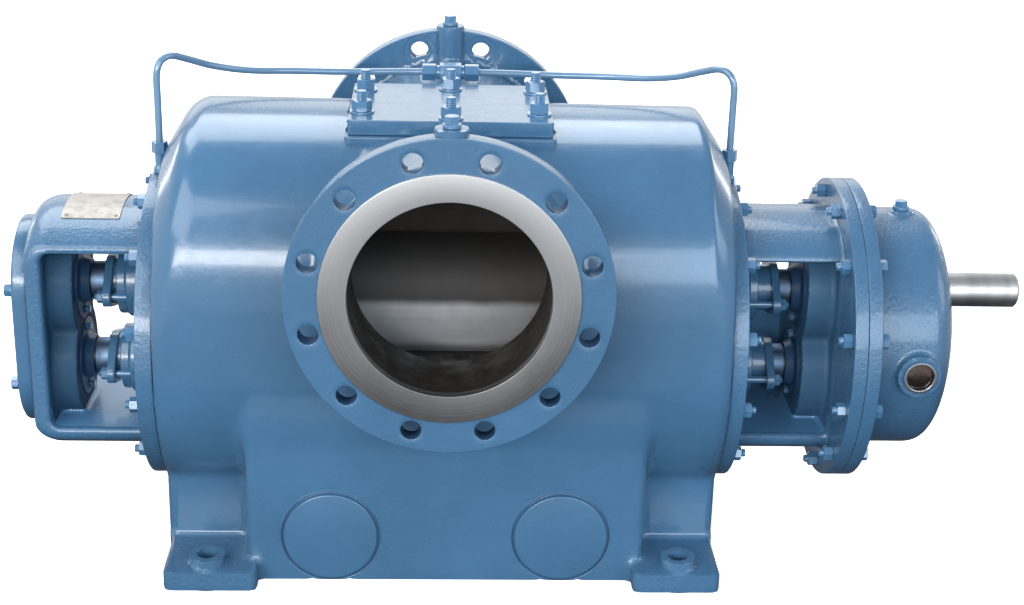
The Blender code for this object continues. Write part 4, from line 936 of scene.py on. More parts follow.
class Finish(Graph):
    """A material in the making, with values that stay the same all over it."""

    def __init__(self, name, metallic=0.0, **steady):
        super().__init__(bpy.data.materials.new(name), "ShaderNodeBsdfPrincipled",
                         "ShaderNodeOutputMaterial")
        self.shader.inputs["Metallic"].default_value = metallic
        for socket, value in steady.items():
            self.shader.inputs[socket.replace("_", " ")].default_value = value
        self.place = self.node("ShaderNodeTexCoord", "Object", {}, {})

    def noise(self, scale, detail=3.0, roughness=0.55, place=None):
        return self.node("ShaderNodeTexNoise", "Fac", {"noise_dimensions": "3D"},
                         {"Vector": place or self.place, "Scale": scale, "Detail": detail,
                          "Roughness": roughness})

    def marks(self, *scale, detail=3.0, roughness=0.6):
        """Noise in coordinates that are scaled along each axis, for brushed or turned metal."""
        place = self.node("ShaderNodeMapping", "Vector", {"vector_type": "POINT"},
                          {"Vector": self.place, "Scale": scale})
        return self.noise(1.0, detail, roughness, place)

    def cells(self, scale):
        return self.node("ShaderNodeTexVoronoi", "Distance", {"feature": "F1"},
                         {"Vector": self.place, "Scale": scale})

    def along(self, axis):
        return self.part(axis, self.place)

    def ranged(self, value, low, high):
        """The value's share of a range, eased at both ends."""
        return self.node("ShaderNodeMapRange", "Result", {"interpolation_type": "SMOOTHSTEP"},
                         {"Value": value, "From Min": low, "From Max": high})

    def drift(self, scale, detail=3.0, low=0.3, high=0.7, roughness=0.55):
        """Noise of a scale, spread so that it runs from nothing to full."""
        return self.ranged(self.noise(scale, detail, roughness), low, high)

    def blend(self, share, first, second):
        """A colour between two others."""
        return self.node("ShaderNodeMix", 2, {"data_type": "RGBA"},
                         {"Factor": share, 6: first, 7: second})

    def bumps(self, *layers):
        """Bump nodes one on another, from (height signal, strength, distance) layers."""
        normal = None
        for height, strength, distance in layers:
            inputs = {"Height": height, "Strength": strength, "Distance": distance}
            if normal:
                inputs["Normal"] = normal
            normal = self.node("ShaderNodeBump", "Normal", {}, inputs)
        return normal


def shade(colour, factor):
    return tuple(min(1.0, channel * factor) for channel in colour[:3]) + (1.0,)


def enamel(name, colour, rough, grain, coat=0.42, shine=0.5):
    """Gloss paint: drifting tint, fine dust, orange peel, and the casting's grain under it."""
    finish = Finish(name, Coat_Roughness=0.10, Specular_IOR_Level=shine)
    drift = finish.drift(4.5, 2.0)
    mottle = finish.drift(40.0, 4.0, 0.35, 0.70, 0.6)
    speck = finish.drift(420.0, 2.0, 0.62, 0.76)
    tint = finish.blend(drift, shade(colour, 0.92), shade(colour, 1.09))
    tint = finish.blend(mottle * (0.10 + 0.14 * grain), tint, shade(colour, 1.20))
    dust = tuple(0.75 * channel + 0.12 for channel in colour[:3]) + (1.0,)
    tint = finish.blend(speck * (0.05 + 0.10 * grain), tint, dust)
    roughness = (rough + mottle * 0.07 + speck * 0.10 - drift * 0.03).clipped()
    peel = finish.noise(95.0, 2.0, 0.45)
    sand = finish.noise(560.0, 4.0, 0.62)
    lumps = finish.noise(185.0)
    pits = finish.ranged(finish.cells(210.0), 0.05, 0.40)
    normal = finish.bumps((peel, 0.16 + 0.18 * grain, 0.0010), (sand, 0.10 + 0.50 * grain, 0.0006),
                          (lumps, 0.02 + 0.65 * grain * grain, 0.0014),
                          (pits, 0.03 + 0.20 * grain, 0.0005))
    return finish.feed(Base_Color=tint, Roughness=roughness, Normal=normal,
                       Coat_Weight=(coat - speck * 0.5 * coat))


def turned_metal(name, colour, rough, centre, low, metallic=1.0):
    """Metal faced in a lathe round an axis along Y: fine rings, a drifting tint, faint scuffs.

    The rings are noise of the distance from the axis, the square root of x^2 + z^2 about the
    centre. Painted light and shade: the tint is lightest as far above the centre as the low
    height lies below it, and darkest at the low height.
    """
    finish = Finish(name, metallic=metallic)
    across, up = finish.along("X") - centre[0], finish.along("Z") - centre[1]
    radius = (across * across + up * up) ** 0.5
    rings = finish.noise(1.0, 3.0, 0.6, place=finish.node(
        "ShaderNodeCombineXYZ", "Vector", {}, {"X": radius * 620.0}))
    drift = finish.drift(9.0)
    scuff = finish.drift(130.0, 5.0, 0.54, 0.74, 0.7)
    # Painted highlight at the top, painted shade at the bottom: a fixed downward darkening of the
    # tint.
    painted_shade = finish.ranged(finish.along("Z") + (drift - 0.5) * 0.02, 2 * centre[1] - low, low)
    tint = finish.blend(painted_shade, shade(colour, 1.24), shade(colour, 0.30))
    tint = finish.blend(drift * 0.25, tint, shade(colour, 0.90))
    tint = finish.blend(scuff * 0.18, tint, shade(colour, 0.50))
    tint = finish.blend(finish.ranged(rings, 0.35, 0.65) * 0.14, tint, shade(colour, 1.5))
    roughness = (rough + scuff * 0.10 + finish.ranged(rings, 0.3, 0.7) * 0.08).clipped()
    normal = finish.bumps((rings, 0.16, 0.0003), (finish.noise(700.0), 0.08, 0.0003))
    return finish.feed(Base_Color=tint, Roughness=roughness, Normal=normal)


def ground_steel(name, colour, rough, stained):
    """Shaft steel: marks round the shaft, so a noise that changes only along X."""
    finish = Finish(name, metallic=1.0)
    marks = finish.marks(1700.0, 14.0, 14.0)
    bands = finish.ranged(finish.marks(55.0, 2.0, 2.0, detail=2.0, roughness=0.55), 0.3, 0.7)
    stain = finish.drift(38.0, 5.0, 0.52, 0.70, 0.65)
    tint = finish.blend(bands, shade(colour, 0.86), shade(colour, 1.10))
    tint = finish.blend(stain * stained, tint, STAIN)
    roughness = (rough + marks * 0.12 + stain * 0.14).clipped()
    normal = finish.bumps((marks, 0.22, 0.0002), (finish.noise(480.0), 0.06, 0.0003))
    return finish.feed(Base_Color=tint, Roughness=roughness, Normal=normal)


def machined_barrel(name, colour, painted_shade):
    """Machined iron with marks along X, bare on its flat sides, darkened above and below them as
    painted shade.
    """
    finish = Finish(name, metallic=0.9)
    marks = finish.marks(9.0, 420.0, 420.0)
    drift = finish.drift(12.0)
    # Painted shade: bands above the flat sides and near the chamber floor darken towards the hollow's
    # colour.
    edge = finish.along("Z") + (finish.noise(16.0) - 0.5) * 0.006
    above = finish.ranged(edge, DRIVE_Z - 0.014, DRIVE_Z + 0.010)
    below = finish.ranged(edge, CHAMBER_FLOOR_Z + 0.024, CHAMBER_FLOOR_Z + 0.002)
    shade_bands = above.most(below * 0.85)
    tint = finish.blend(drift, shade(colour, 0.86), shade(colour, 1.12))
    tint = finish.blend(finish.ranged(marks, 0.35, 0.65) * 0.3, tint, shade(colour, 1.3))
    tint = finish.blend(shade_bands * 0.94, tint, painted_shade)
    roughness = (0.28 + marks * 0.10 + shade_bands * 0.36).clipped()
    normal = finish.bumps((marks, 0.20, 0.0003), (finish.noise(520.0), 0.12, 0.0003))
    return finish.feed(Base_Color=tint, Roughness=roughness, Normal=normal,
                       Metallic=(0.80 + shade_bands * 0.15))


def dark_hollow(name, colour):
    """The unpainted inside of the casing: oily scale, darker towards the bottom, with painted shade
    on its roof.
    """
    finish = Finish(name, Specular_IOR_Level=0.22)
    scale = finish.drift(26.0, 6.0, 0.34, 0.68, 0.62)
    blotch = finish.ranged(finish.cells(32.0), 0.1, 0.6)
    low = finish.ranged(finish.along("Z"), 0.30, 0.50)
    tint = finish.blend(scale, shade(colour, 0.75), shade(colour, 1.15))
    tint = finish.blend(low, shade(colour, 0.5), tint)
    # Painted shade: the roof, from 0.44 m up, is darkened.
    roof_shade = finish.ranged(finish.along("Z"), 0.44, 0.50) * 0.7
    tint = finish.blend(roof_shade, tint, shade(colour, 0.3))
    roughness = (0.50 + scale * 0.25 - blotch * 0.08).clipped()
    normal = finish.bumps((scale, 0.4, 0.0012), (finish.noise(330.0, 4.0, 0.7), 0.35, 0.0005))
    return finish.feed(Base_Color=tint, Roughness=roughness, Normal=normal)


def oil_glass(name, colour):
    """The sight glass: brown oil that darkens below its level, under a clear smooth front."""
    finish = Finish(name, IOR=1.5, Coat_Roughness=0.02)
    level = finish.ranged(finish.along("Z"), SIGHT_Z + 0.001, SIGHT_Z + 0.006)
    cloud = finish.drift(90.0)
    tint = finish.blend(level, shade(colour, 0.55), shade(colour, 2.4))
    tint = finish.blend(cloud * 0.4, tint, shade(colour, 1.2))
    smear = finish.drift(160.0, 4.0, 0.5, 0.75)
    return finish.feed(Base_Color=tint, Roughness=(0.06 + smear * 0.10),
                       Normal=finish.bumps((cloud, 0.05, 0.0006)), Coat_Weight=(1.0 - smear * 0.2))


def bare_plate(name, colour):
    """The nameplate: satin aluminium gone cream, brushed along X, with faint spots."""
    finish = Finish(name, metallic=0.35)
    brushed = finish.marks(30.0, 1500.0, 1500.0)
    age = finish.drift(60.0, 5.0, 0.42, 0.70, 0.65)
    spot = finish.drift(330.0, 3.0, 0.64, 0.74)
    tint = finish.blend(age, shade(colour, 1.08), shade(colour, 0.84))
    tint = finish.blend(spot * 0.5, tint, SPOT)
    roughness = (0.38 + age * 0.16 + brushed * 0.08).clipped()
    normal = finish.bumps((brushed, 0.12, 0.0002), (age, 0.08, 0.0006))
    return finish.feed(Base_Color=tint, Roughness=roughness, Normal=normal)


def pale_floor(name, colour):
    """A matt backdrop with the faintest unevenness."""
    finish = Finish(name, Specular_IOR_Level=0.15, Emission_Color=WHITE, Emission_Strength=0.75)
    drift = finish.drift(1.4, 2.0)
    tint = finish.blend(drift, shade(colour, 0.985), shade(colour, 1.0))
    return finish.feed(Base_Color=tint, Roughness=(0.82 + drift * 0.05),
                       Normal=finish.bumps((finish.noise(260.0), 0.03, 0.0004)))


FINISHES = {}


def finishes_made(colours):
    """Make every finish once, from the colours in the sidebar."""
    if FINISHES:
        return
    paint = colours.paint
    FINISHES.update(
        body=enamel("enamel_on_fettled_casing", paint, rough=0.20, grain=0.22),
        casting=enamel("enamel_on_rough_casting", paint, rough=0.22, grain=1.0, coat=0.45),
        smooth=enamel("enamel_on_machined_iron", paint, rough=0.20, grain=0.48),
        cover=enamel("enamel_on_planed_cover", shade(paint, 1.05), rough=0.22, grain=0.12, coat=0.6),
        # Painted shade: the housings' enamel is the paint darkened, more on the left than the right.
        inside_left=enamel("enamel_on_left_housing", shade(paint, 0.50), rough=0.55, grain=0.7,
                           coat=0.02, shine=0.10),
        inside_right=enamel("enamel_on_right_housing", shade(paint, 0.85), rough=0.45, grain=0.7,
                            coat=0.05, shine=0.20),
        # Painted light: the lanterns' floors and the drive side's rear wall take the paint lightened.
        lit_inside=enamel("enamel_in_lanterns", shade(paint, 1.80), rough=0.30, grain=0.7),
        # Partly painted highlight: the tubes' enamel is lighter than the casing's.
        tube=enamel("enamel_on_tubes", TUBE_PAINT, rough=0.16, grain=0.16, coat=1.0),
        # Painted shade: the bearing caps and the flange holes' walls take a darkened copy of the
        # paint.
        shaded=enamel("enamel_on_bearing_caps", colours.shaded_paint, rough=0.34, grain=0.4,
                      coat=0.05, shine=0.18),
        # Painted highlight: fasteners, the tee and the plugs take the paint lightened, for bright
        # tops.
        fastener=enamel("enamel_on_fasteners", shade(paint, 1.30), rough=0.18, grain=0.16,
                        coat=1.0),
        # The turned faces carry a painted highlight at the top and painted shade at the bottom.
        face=turned_metal("turned_nozzle_face", colours.machined, 0.32, (0.0, NOZZLE_Z),
                          NOZZLE_Z - RAISED_RADIUS, metallic=0.85),
        barrel=machined_barrel("machined_barrel_iron", colours.barrel, colours.hollow),
        shaft=ground_steel("ground_shaft_steel", colours.steel, 0.34, 0.35),
        sleeve=ground_steel("ground_sleeve_steel", SLEEVE_STEEL, 0.44, 0.08),
        hollow=dark_hollow("oily_hollow_scale", colours.hollow),
        ring=turned_metal("bright_sight_ring", BRIGHT_RING, 0.12, (SIGHT_X, SIGHT_Z),
                          SIGHT_Z - 0.06),
        oil=oil_glass("brown_oil_glass", colours.oil),
        plate=bare_plate("bare_nameplate", colours.plate),
        floor=pale_floor("pale_backdrop", colours.floor))


# Sizes and colours that a user may change

LENGTHS = (
    ("casing_cell", "Casing cell", "Mesh cell of the casing's skin", 0.005, 0.003, 0.02),
    ("bracket_cell", "Bracket cell", "Mesh cell of the brackets' and gear cover's skins", 0.0034,
     0.002, 0.02),
    ("cover_nut", "Cover nut", "Width across flats of the top cover's nuts", 0.0235, 0.01, 0.05),
    ("flange_nut", "Flange nut", "Width across flats of the flanges' nuts", 0.0180, 0.01, 0.05),
    ("gland_nut", "Gland nut", "Width across flats of the glands' nuts", 0.0150, 0.008, 0.03))
COLOURS = (
    ("paint", "Paint", "Enamel on the castings", (0.046, 0.122, 0.218)),
    # The inner paint is a darkened copy of the paint, painted shade on the caps and hole walls.
    ("shaded_paint", "Inner paint", "Enamel on the bearing caps", (0.022, 0.058, 0.122)),
    ("machined", "Machined face", "Bare turned faces of the nozzles", (0.42, 0.415, 0.41)),
    ("barrel", "Barrel", "Machined iron of the screw barrel", (0.86, 0.86, 0.88)),
    ("steel", "Steel", "Ground steel of the shafts", (0.58, 0.565, 0.545)),
    ("hollow", "Hollow", "Bare scale inside the casing", (0.034, 0.028, 0.023)),
    ("oil", "Oil", "Oil behind the sight glass", (0.017, 0.008, 0.004)),
    ("plate", "Nameplate", "Bare nameplate", (0.37, 0.33, 0.29)),
    ("floor", "Floor", "Backdrop", (0.92, 0.92, 0.92)))


class PumpSizes(bpy.types.PropertyGroup):
    """Sizes of the fasteners and how finely the castings are meshed."""

    __annotations__ = {
        name: bpy.props.FloatProperty(name=label, description=text, default=size, min=least,
                                      max=most, unit="LENGTH")
        for name, label, text, size, least, most in LENGTHS}


class PumpColours(bpy.types.PropertyGroup):
    """Colours of the paint, the bare metal and the backdrop."""

    __annotations__ = {
        name: bpy.props.FloatVectorProperty(name=label, description=text, subtype="COLOR", size=4,
                                            default=colour + (1.0,), min=0, max=1)
        for name, label, text, colour in COLOURS}


# One operator for each piece or group of like pieces

class Step:
    """What every step shares: finishes from the sidebar's colours, pieces from its sizes."""

    def execute(self, context):
        finishes_made(context.scene.pump_colours)
        self.make(context.scene.pump_sizes)
        return {"FINISHED"}


class MakeCasing(Step, bpy.types.Operator):
    """The casing's skin with its hollows, the drilled nozzle flanges and their turned faces"""

    bl_idname = "pump.make_casing"
    bl_label = "Casing and nozzles"

    def make(self, sizes):
        shape = skin(casing_field, *CASING_BOX, sizes.casing_cell)
        x, y, z = face_middles(shape).T
        choice = (chamber_field(x, y, z) < 0.0012).astype(int)
        choice[(np.abs(y) > LEG_HALF_Y + 0.004) & (z < FOOT_BOSS_TOP + 0.004)
               & (np.abs(x) > PANEL_HALF_X - 0.020)] = 2
        casing = add_piece("casing_shell", shape, "body", "hollow", "casting", sharp=42,
                           choice=choice, replaces="pump_casing")
        flat = casing.modifiers.new("flat faces", "DECIMATE")
        flat.decimate_type = "DISSOLVE"
        flat.angle_limit = math.radians(0.25)
        flat.delimit = {"MATERIAL", "SHARP"}
        self.nozzle("front", -1)
        self.nozzle("rear", 1)
        self.pads()

    def nozzle(self, name, front):
        """A drilled flange with painted shade on its hole walls, the oily bore and the turned raised
        face.
        """
        centre, axis = (0, 0, NOZZLE_Z), (0, front, 0)
        shape = drilled_flange(front)
        x, _, z = face_middles(shape).T
        off = np.hypot(x, z - NOZZLE_Z)
        pitch = math.tau / BOLT_COUNT
        turn = np.arctan2(x, z - NOZZLE_Z) % pitch - pitch / 2
        # Painted shade: faces on the bolt holes' walls take the darkened enamel.
        wall = np.hypot(off * np.cos(turn) - BOLT_CIRCLE, off * np.sin(turn)) < BOLT_HOLE_RADIUS
        add_piece("nozzle_flange_" + name, shape, "smooth", "shaded", sharp=50, choice=wall)
        low, high = FLANGE_FACE_Y - 0.014, FLANGE_FACE_Y + RAISED_HEIGHT
        bore = tube_profile(NOZZLE_BORE_Y, low + 0.004, BORE_RADIUS - 0.0003, BORE_RADIUS + 0.003,
                            0.0004)
        add_piece("nozzle_bore_" + name, turned(bore, centre, axis, 128), "hollow",
                  slot="bare_barrel")
        face = tube_profile(low, high, BORE_RADIUS - 0.0002, RAISED_RADIUS, 0.0008)
        add_piece("nozzle_face_" + name, turned(face, centre, axis, 128), "face",
                  slot="machined_face")

    def pads(self):
        """The round pads on the panels, each in its narrow groove."""
        back, lip, out = PANEL_HALF_Y - 0.006, PANEL_HALF_Y + 0.0003, PANEL_HALF_Y + ROUND_PAD_PROUD
        floor, radius = PANEL_HALF_Y - 0.0038, ROUND_PAD_RADIUS
        pad = rounded([(back, 0.0), (back, radius + 0.0060), (lip, radius + 0.0064),
                       (lip, radius + 0.0044), (floor, radius + 0.0028), (floor, radius + 0.0006),
                       (out, radius), (out, 0.0)], (0.0, 0.0004, 0.0012, 0.0008, 0.0008, 0.0018))
        points, faces = joined([turned(pad, (x, 0, ROUND_PAD_Z), (0, front, 0), 96)
                                for x in (-ROUND_PAD_X, ROUND_PAD_X) for front in (-1, 1)])
        points[:, 2] = np.maximum(points[:, 2], FLOOR_DROP)
        add_piece("panel_pads", (points, faces), "body")


class MakeBarrel(Step, bpy.types.Operator):
    """The bare screw barrel that shows through the nozzles, an oval carried along X"""

    bl_idname = "pump.make_barrel"
    bl_label = "Screw barrel"

    def make(self, sizes):
        shape = outline_prism(two_lobed(BARREL_RADIUS), -BARREL_HALF_X, BARREL_HALF_X, 0.0015, "X")
        add_piece("screw_liner", shape, "barrel", slot="bare_barrel", replaces="screw_barrel")


class MakeTopCover(Step, bpy.types.Operator):
    """The planed cover plate on the crown, with its six studs and nuts"""

    bl_idname = "pump.make_top_cover"
    bl_label = "Top cover"

    def make(self, sizes):
        bed_x, bed_y = COVER_HALF_X + 0.004, COVER_HALF_Y + 0.009
        bed = outline_prism(round_box((-bed_x, -bed_y), (bed_x, bed_y), 0.008), COVER_BED_Z,
                            COVER_BOTTOM_Z - SEAT_GAP, 0.0020, "Z")
        add_piece("cover_bed", bed, "body")
        outline = round_box((-COVER_HALF_X, -COVER_HALF_Y), (COVER_HALF_X, COVER_HALF_Y), 0.005)
        add_piece("cover_plate", outline_prism(outline, COVER_BOTTOM_Z, COVER_TOP_Z, 0.0012, "Z"),
                  "cover", replaces="top_cover")
        nut = stud_and_nut(sizes.cover_nut, height=0.0145, reach=0.013, washer=0.0165)
        add_fasteners("cover_nuts", [placed(nut, (x, y, COVER_TOP_Z), UPWARD, 11 * i)
                                     for i, (x, y) in enumerate(COVER_STUDS)])


class MakeBrackets(Step, bpy.types.Operator):
    """Both bearing brackets, the outer bearing cover and its bolts"""

    bl_idname = "pump.make_brackets"
    bl_label = "Bearing brackets"

    def make(self, sizes):
        castings = (
            ("left", bracket_left_field, LEFT_BRACKET_BOX,
             [(LEFT_FLANGE_X, -BODY_FACE["left"], LEFT_FLANGE_RADIUS)]),
            ("right", bracket_right_field, RIGHT_BRACKET_BOX,
             [(BODY_FACE["right"], RIGHT_FLANGE_X, RIGHT_FLANGE_RADIUS),
              (RIGHT_END_X, RIGHT_PLATE_X - SEAT_GAP, RIGHT_PLATE_RADIUS)]))
        for side, field, box, rims in castings:
            points, faces = skin(field, *box, sizes.bracket_cell)
            shapes = [(points, faces.tolist())] + [flange_rim(*rim) for rim in rims]
            choice = np.zeros(sum(len(corners) for _, corners in shapes), int)
            choice[:len(faces)] = self.finish_of(side, *face_middles((points, faces)).T)
            add_piece("lantern_" + side, joined(shapes), "casting", "inside_" + side, "lit_inside",
                      sharp=42, choice=choice, replaces="bearing_bracket_" + side)
        self.outer_cover()

    def finish_of(self, side, x, y, z):
        """Each face's finish: 0 outside, 1 painted shade on the housing, 2 painted light on the
        floor.
        """
        deep = SIDES[side] * x - HOUSING_FACE[side] + 0.002
        # Painted shade: faces on the bearing housing, inside the lantern, take the darkened enamel.
        inside = (np.hypot(y, z - AXIS_Z) < SEAL_PLATE_RADIUS) & (deep > 0) & (
            z > WINDOW_LOW_Z + 0.004) & (np.abs(y) < 0.089)
        # Painted light: the lanterns' floors and the drive side's lower rear wall take the lightened
        # enamel.
        rear = (y > 0.075) & (deep < 0) & (z < RIGHT_REAR_SILL_Z)
        lit = ((z < WINDOW_LOW_Z + 0.004) | rear) & (z > WINDOW_LOW_Z - 0.004) & (
            np.abs(y) < LANTERN_HALF_Y - 0.008) & (np.abs(x) > -BODY_LEFT_X + 0.004) & (
            x < RIGHT_END_X - 0.002)
        return np.where(lit, 2, inside)

    def outer_cover(self):
        """The two-lobed cover on the left end wall, and its four screws."""
        shape = outline_prism(two_lobed(OUTER_COVER_RADIUS), OUTER_COVER_X, LEFT_END_X - SEAT_GAP,
                              OUTER_COVER_EDGE, "X")
        add_piece("outer_bearing_cover", shape, "smooth", replaces="bearing_cover_left")
        screw, radius = cap_screw(flats=0.016, height=0.010), OUTER_COVER_RADIUS - 0.013
        spots = ((DRIVE_Z, 8), (DRIVE_Z, 172), (DRIVEN_Z, 188), (DRIVEN_Z, 352))
        add_fasteners("outer_cover_screws", [
            placed(screw, around(OUTER_COVER_X, height, radius, turn), (-1, 0, 0), 17 * turn)
            for height, turn in spots])


class MakeFlangeNuts(Step, bpy.types.Operator):
    """The rings of nuts and cap screws on the brackets' flanges and the gear cover's rim"""

    bl_idname = "pump.make_flange_nuts"
    bl_label = "Flange fasteners"

    def make(self, sizes):
        nut = stud_and_nut(sizes.flange_nut, height=0.0125, reach=0.007)
        screw = cap_screw(sizes.flange_nut, height=0.0115)
        rings = (("left_flange_nuts", nut, LEFT_FLANGE_X, -1, BRACKET_NUT_CIRCLE),
                 ("right_flange_nuts", nut, RIGHT_FLANGE_X, 1, BRACKET_NUT_CIRCLE),
                 ("gearbox_flange_nuts", nut, RIGHT_END_X, -1, GEAR_NUT_CIRCLE),
                 ("gear_rim_screws", screw, GEAR_RIM_X, 1, GEAR_NUT_CIRCLE))
        for name, shape, x, sign, radius in rings:
            add_fasteners(name, [placed(shape, around(x, AXIS_Z, radius, 15 + 30 * i), (sign, 0, 0),
                                        23 * i) for i in range(12)])


class MakeSeals(Step, bpy.types.Operator):
    """The seal cover plates with their stuffing boxes, the glands and the glands' nuts"""

    bl_idname = "pump.make_seals"
    bl_label = "Shaft seals"

    def make(self, sizes):
        for side, sign in SIDES.items():
            face = BODY_FACE[side]
            end = face - SEAT_GAP + BOX_LENGTH[side]
            plate = tube_profile(face, face + SEAL_PLATE_THICKNESS, 0.001,
                                 SEAL_PLATE_RADIUS - SEAT_GAP, 0.0015)
            box = self.box_profile(face, end)
            shapes = [turned(plate, (0, 0, AXIS_Z), (sign, 0, 0), 128)]
            shapes += [turned(box, (0, 0, height), (sign, 0, 0), 72)
                       for height in SHAFT_HEIGHTS.values()]
            add_piece("seal_cover_and_boxes_" + side, joined(shapes), "smooth",
                      replaces="seal_cover_" + side)
            nuts = []
            for level, height in SHAFT_HEIGHTS.items():
                add_piece("gland_plate_%s_%s" % (level, side), gland_shape(side, height), "smooth",
                          replaces="gland_%s_%s" % (level, side))
                nuts += self.gland_nuts(side, sign, height, end, sizes.gland_nut)
            add_fasteners("gland_nuts_" + side, nuts)

    def box_profile(self, face, end):
        """A stuffing box: its foot on the plate, a collar, and the pocket for the packing."""
        pocket, waist = end - BOX_POCKET_DEPTH, BOX_RADIUS + 0.004
        corners = [(pocket, SEAL_BORE), (face + 0.010, SEAL_BORE), (face + 0.010, waist),
                   (end - 0.014, waist), (end - 0.011, BOX_RADIUS), (end, BOX_RADIUS),
                   (end, BOX_POCKET_RADIUS), (pocket, BOX_POCKET_RADIUS), (pocket, SEAL_BORE)]
        return rounded(corners[::-1], (0, 0.001, 0.0015, 0.002, 0.002, 0.004, 0, 0))[::-1]

    def gland_nuts(self, side, sign, height, end, flats):
        """A stud from the box to the gland at each ear, and the nut on its outside."""
        out = end + SEAT_GAP + GLAND_GAP[side] + GLAND_THICKNESS
        nut = stud_and_nut(flats, height=0.0085, reach=0.0045)
        rod = drum(end - 0.020, out - 0.002, GLAND_STUD_RADIUS, 0.0004)
        made = []
        for flip in (0, 180):
            place = around(sign * out, height, GLAND_EAR_DISTANCE, GLAND_TILT + flip)
            made += [placed(nut, place, (sign, 0, 0), 13 + flip),
                     turned(rod, (0,) + place[1:], (sign, 0, 0), 20)]
        return made


class MakeCaps(Step, bpy.types.Operator):
    """The four bearing caps inside the brackets, each with screws above and below the shaft"""

    bl_idname = "pump.make_caps"
    bl_label = "Bearing caps"

    def make(self, sizes):
        bore = SHAFT_RADIUS + RUN_GAP
        screw = cap_screw(flats=0.0105, height=0.006)
        screws = {}
        for side, sign in SIDES.items():
            face = HOUSING_FACE[side]
            back, front = face + CAP_SEAT_DEPTH - SEAT_GAP, face - CAP_PROUD
            tip = front - CAP_NOSE_LENGTH
            profile = rounded([(back, bore), (tip, bore), (tip, CAP_NOSE_TIP_RADIUS),
                               (front, CAP_NOSE_ROOT_RADIUS), (front, CAP_RADIUS),
                               (back, CAP_RADIUS), (back, bore)],
                              (0.0008, 0.0012, 0.003, 0.001, 0.0005))
            for level, height in SHAFT_HEIGHTS.items():
                # The caps take the darkened enamel as painted shade.
                add_piece("cap_%s_%s" % (level, side),
                          turned(profile, (0, 0, height), (sign, 0, 0), 80), "shaded",
                          slot="dark_paint", replaces="bearing_cap_%s_%s" % (level, side))
            screws[side] = [placed(screw, around(sign * front, height, CAP_SCREW_CIRCLE, turn),
                                   (-sign, 0, 0), 9)
                            for height in SHAFT_HEIGHTS.values() for turn in (270, 90)]
        for side, shapes in screws.items():
            add_fasteners("cap_screws_" + side, shapes)


class MakeGearCover(Step, bpy.types.Operator):
    """The domed gear cover with its sight glass and filler plug"""

    bl_idname = "pump.make_gear_cover"
    bl_label = "Gear cover"

    def make(self, sizes):
        points, faces = skin(gear_cover_field, *GEAR_COVER_BOX, sizes.bracket_cell)
        rim = flange_rim(RIGHT_PLATE_X, GEAR_RIM_X, GEAR_RIM_RADIUS)
        add_piece("gear_cover_shell", joined([(points, faces.tolist()), rim]), "casting", sharp=42,
                  replaces="gear_cover")
        centre, front = (SIGHT_X, 0, SIGHT_Z), (0, -1, 0)
        ring = turned(tube_profile(SIGHT_BOSS_Y + SEAT_GAP, SIGHT_RING_Y, SIGHT_RING_BORE,
                                   SIGHT_RING_RADIUS, 0.0011), centre, front, 72)
        x, _, z = face_middles(ring).T
        add_piece("sight_ring", ring, "ring", "smooth", slot="bright_ring",
                  choice=np.hypot(x - SIGHT_X, z - SIGHT_Z) > SIGHT_RING_BARE,
                  replaces="sight_glass_ring")
        pane = rounded([(PANE_BACK_Y, 0), (PANE_BACK_Y, PANE_RADIUS),
                        (SIGHT_PANE_Y - 0.0004, PANE_RADIUS),
                        (SIGHT_PANE_Y + 0.0008, 0.010), (SIGHT_PANE_Y + 0.0010, 0)],
                       (0.0004, 0.0008, 0.006))
        add_piece("sight_pane", turned(pane, centre, front, 64), "oil", slot="oil_glass",
                  replaces="sight_glass")
        add_fasteners("filler_plug", hexagon_plug(FILLER_X, 0, FILLER_BOSS_TOP, FILLER_TOP),
                      "gear_filler_plug")


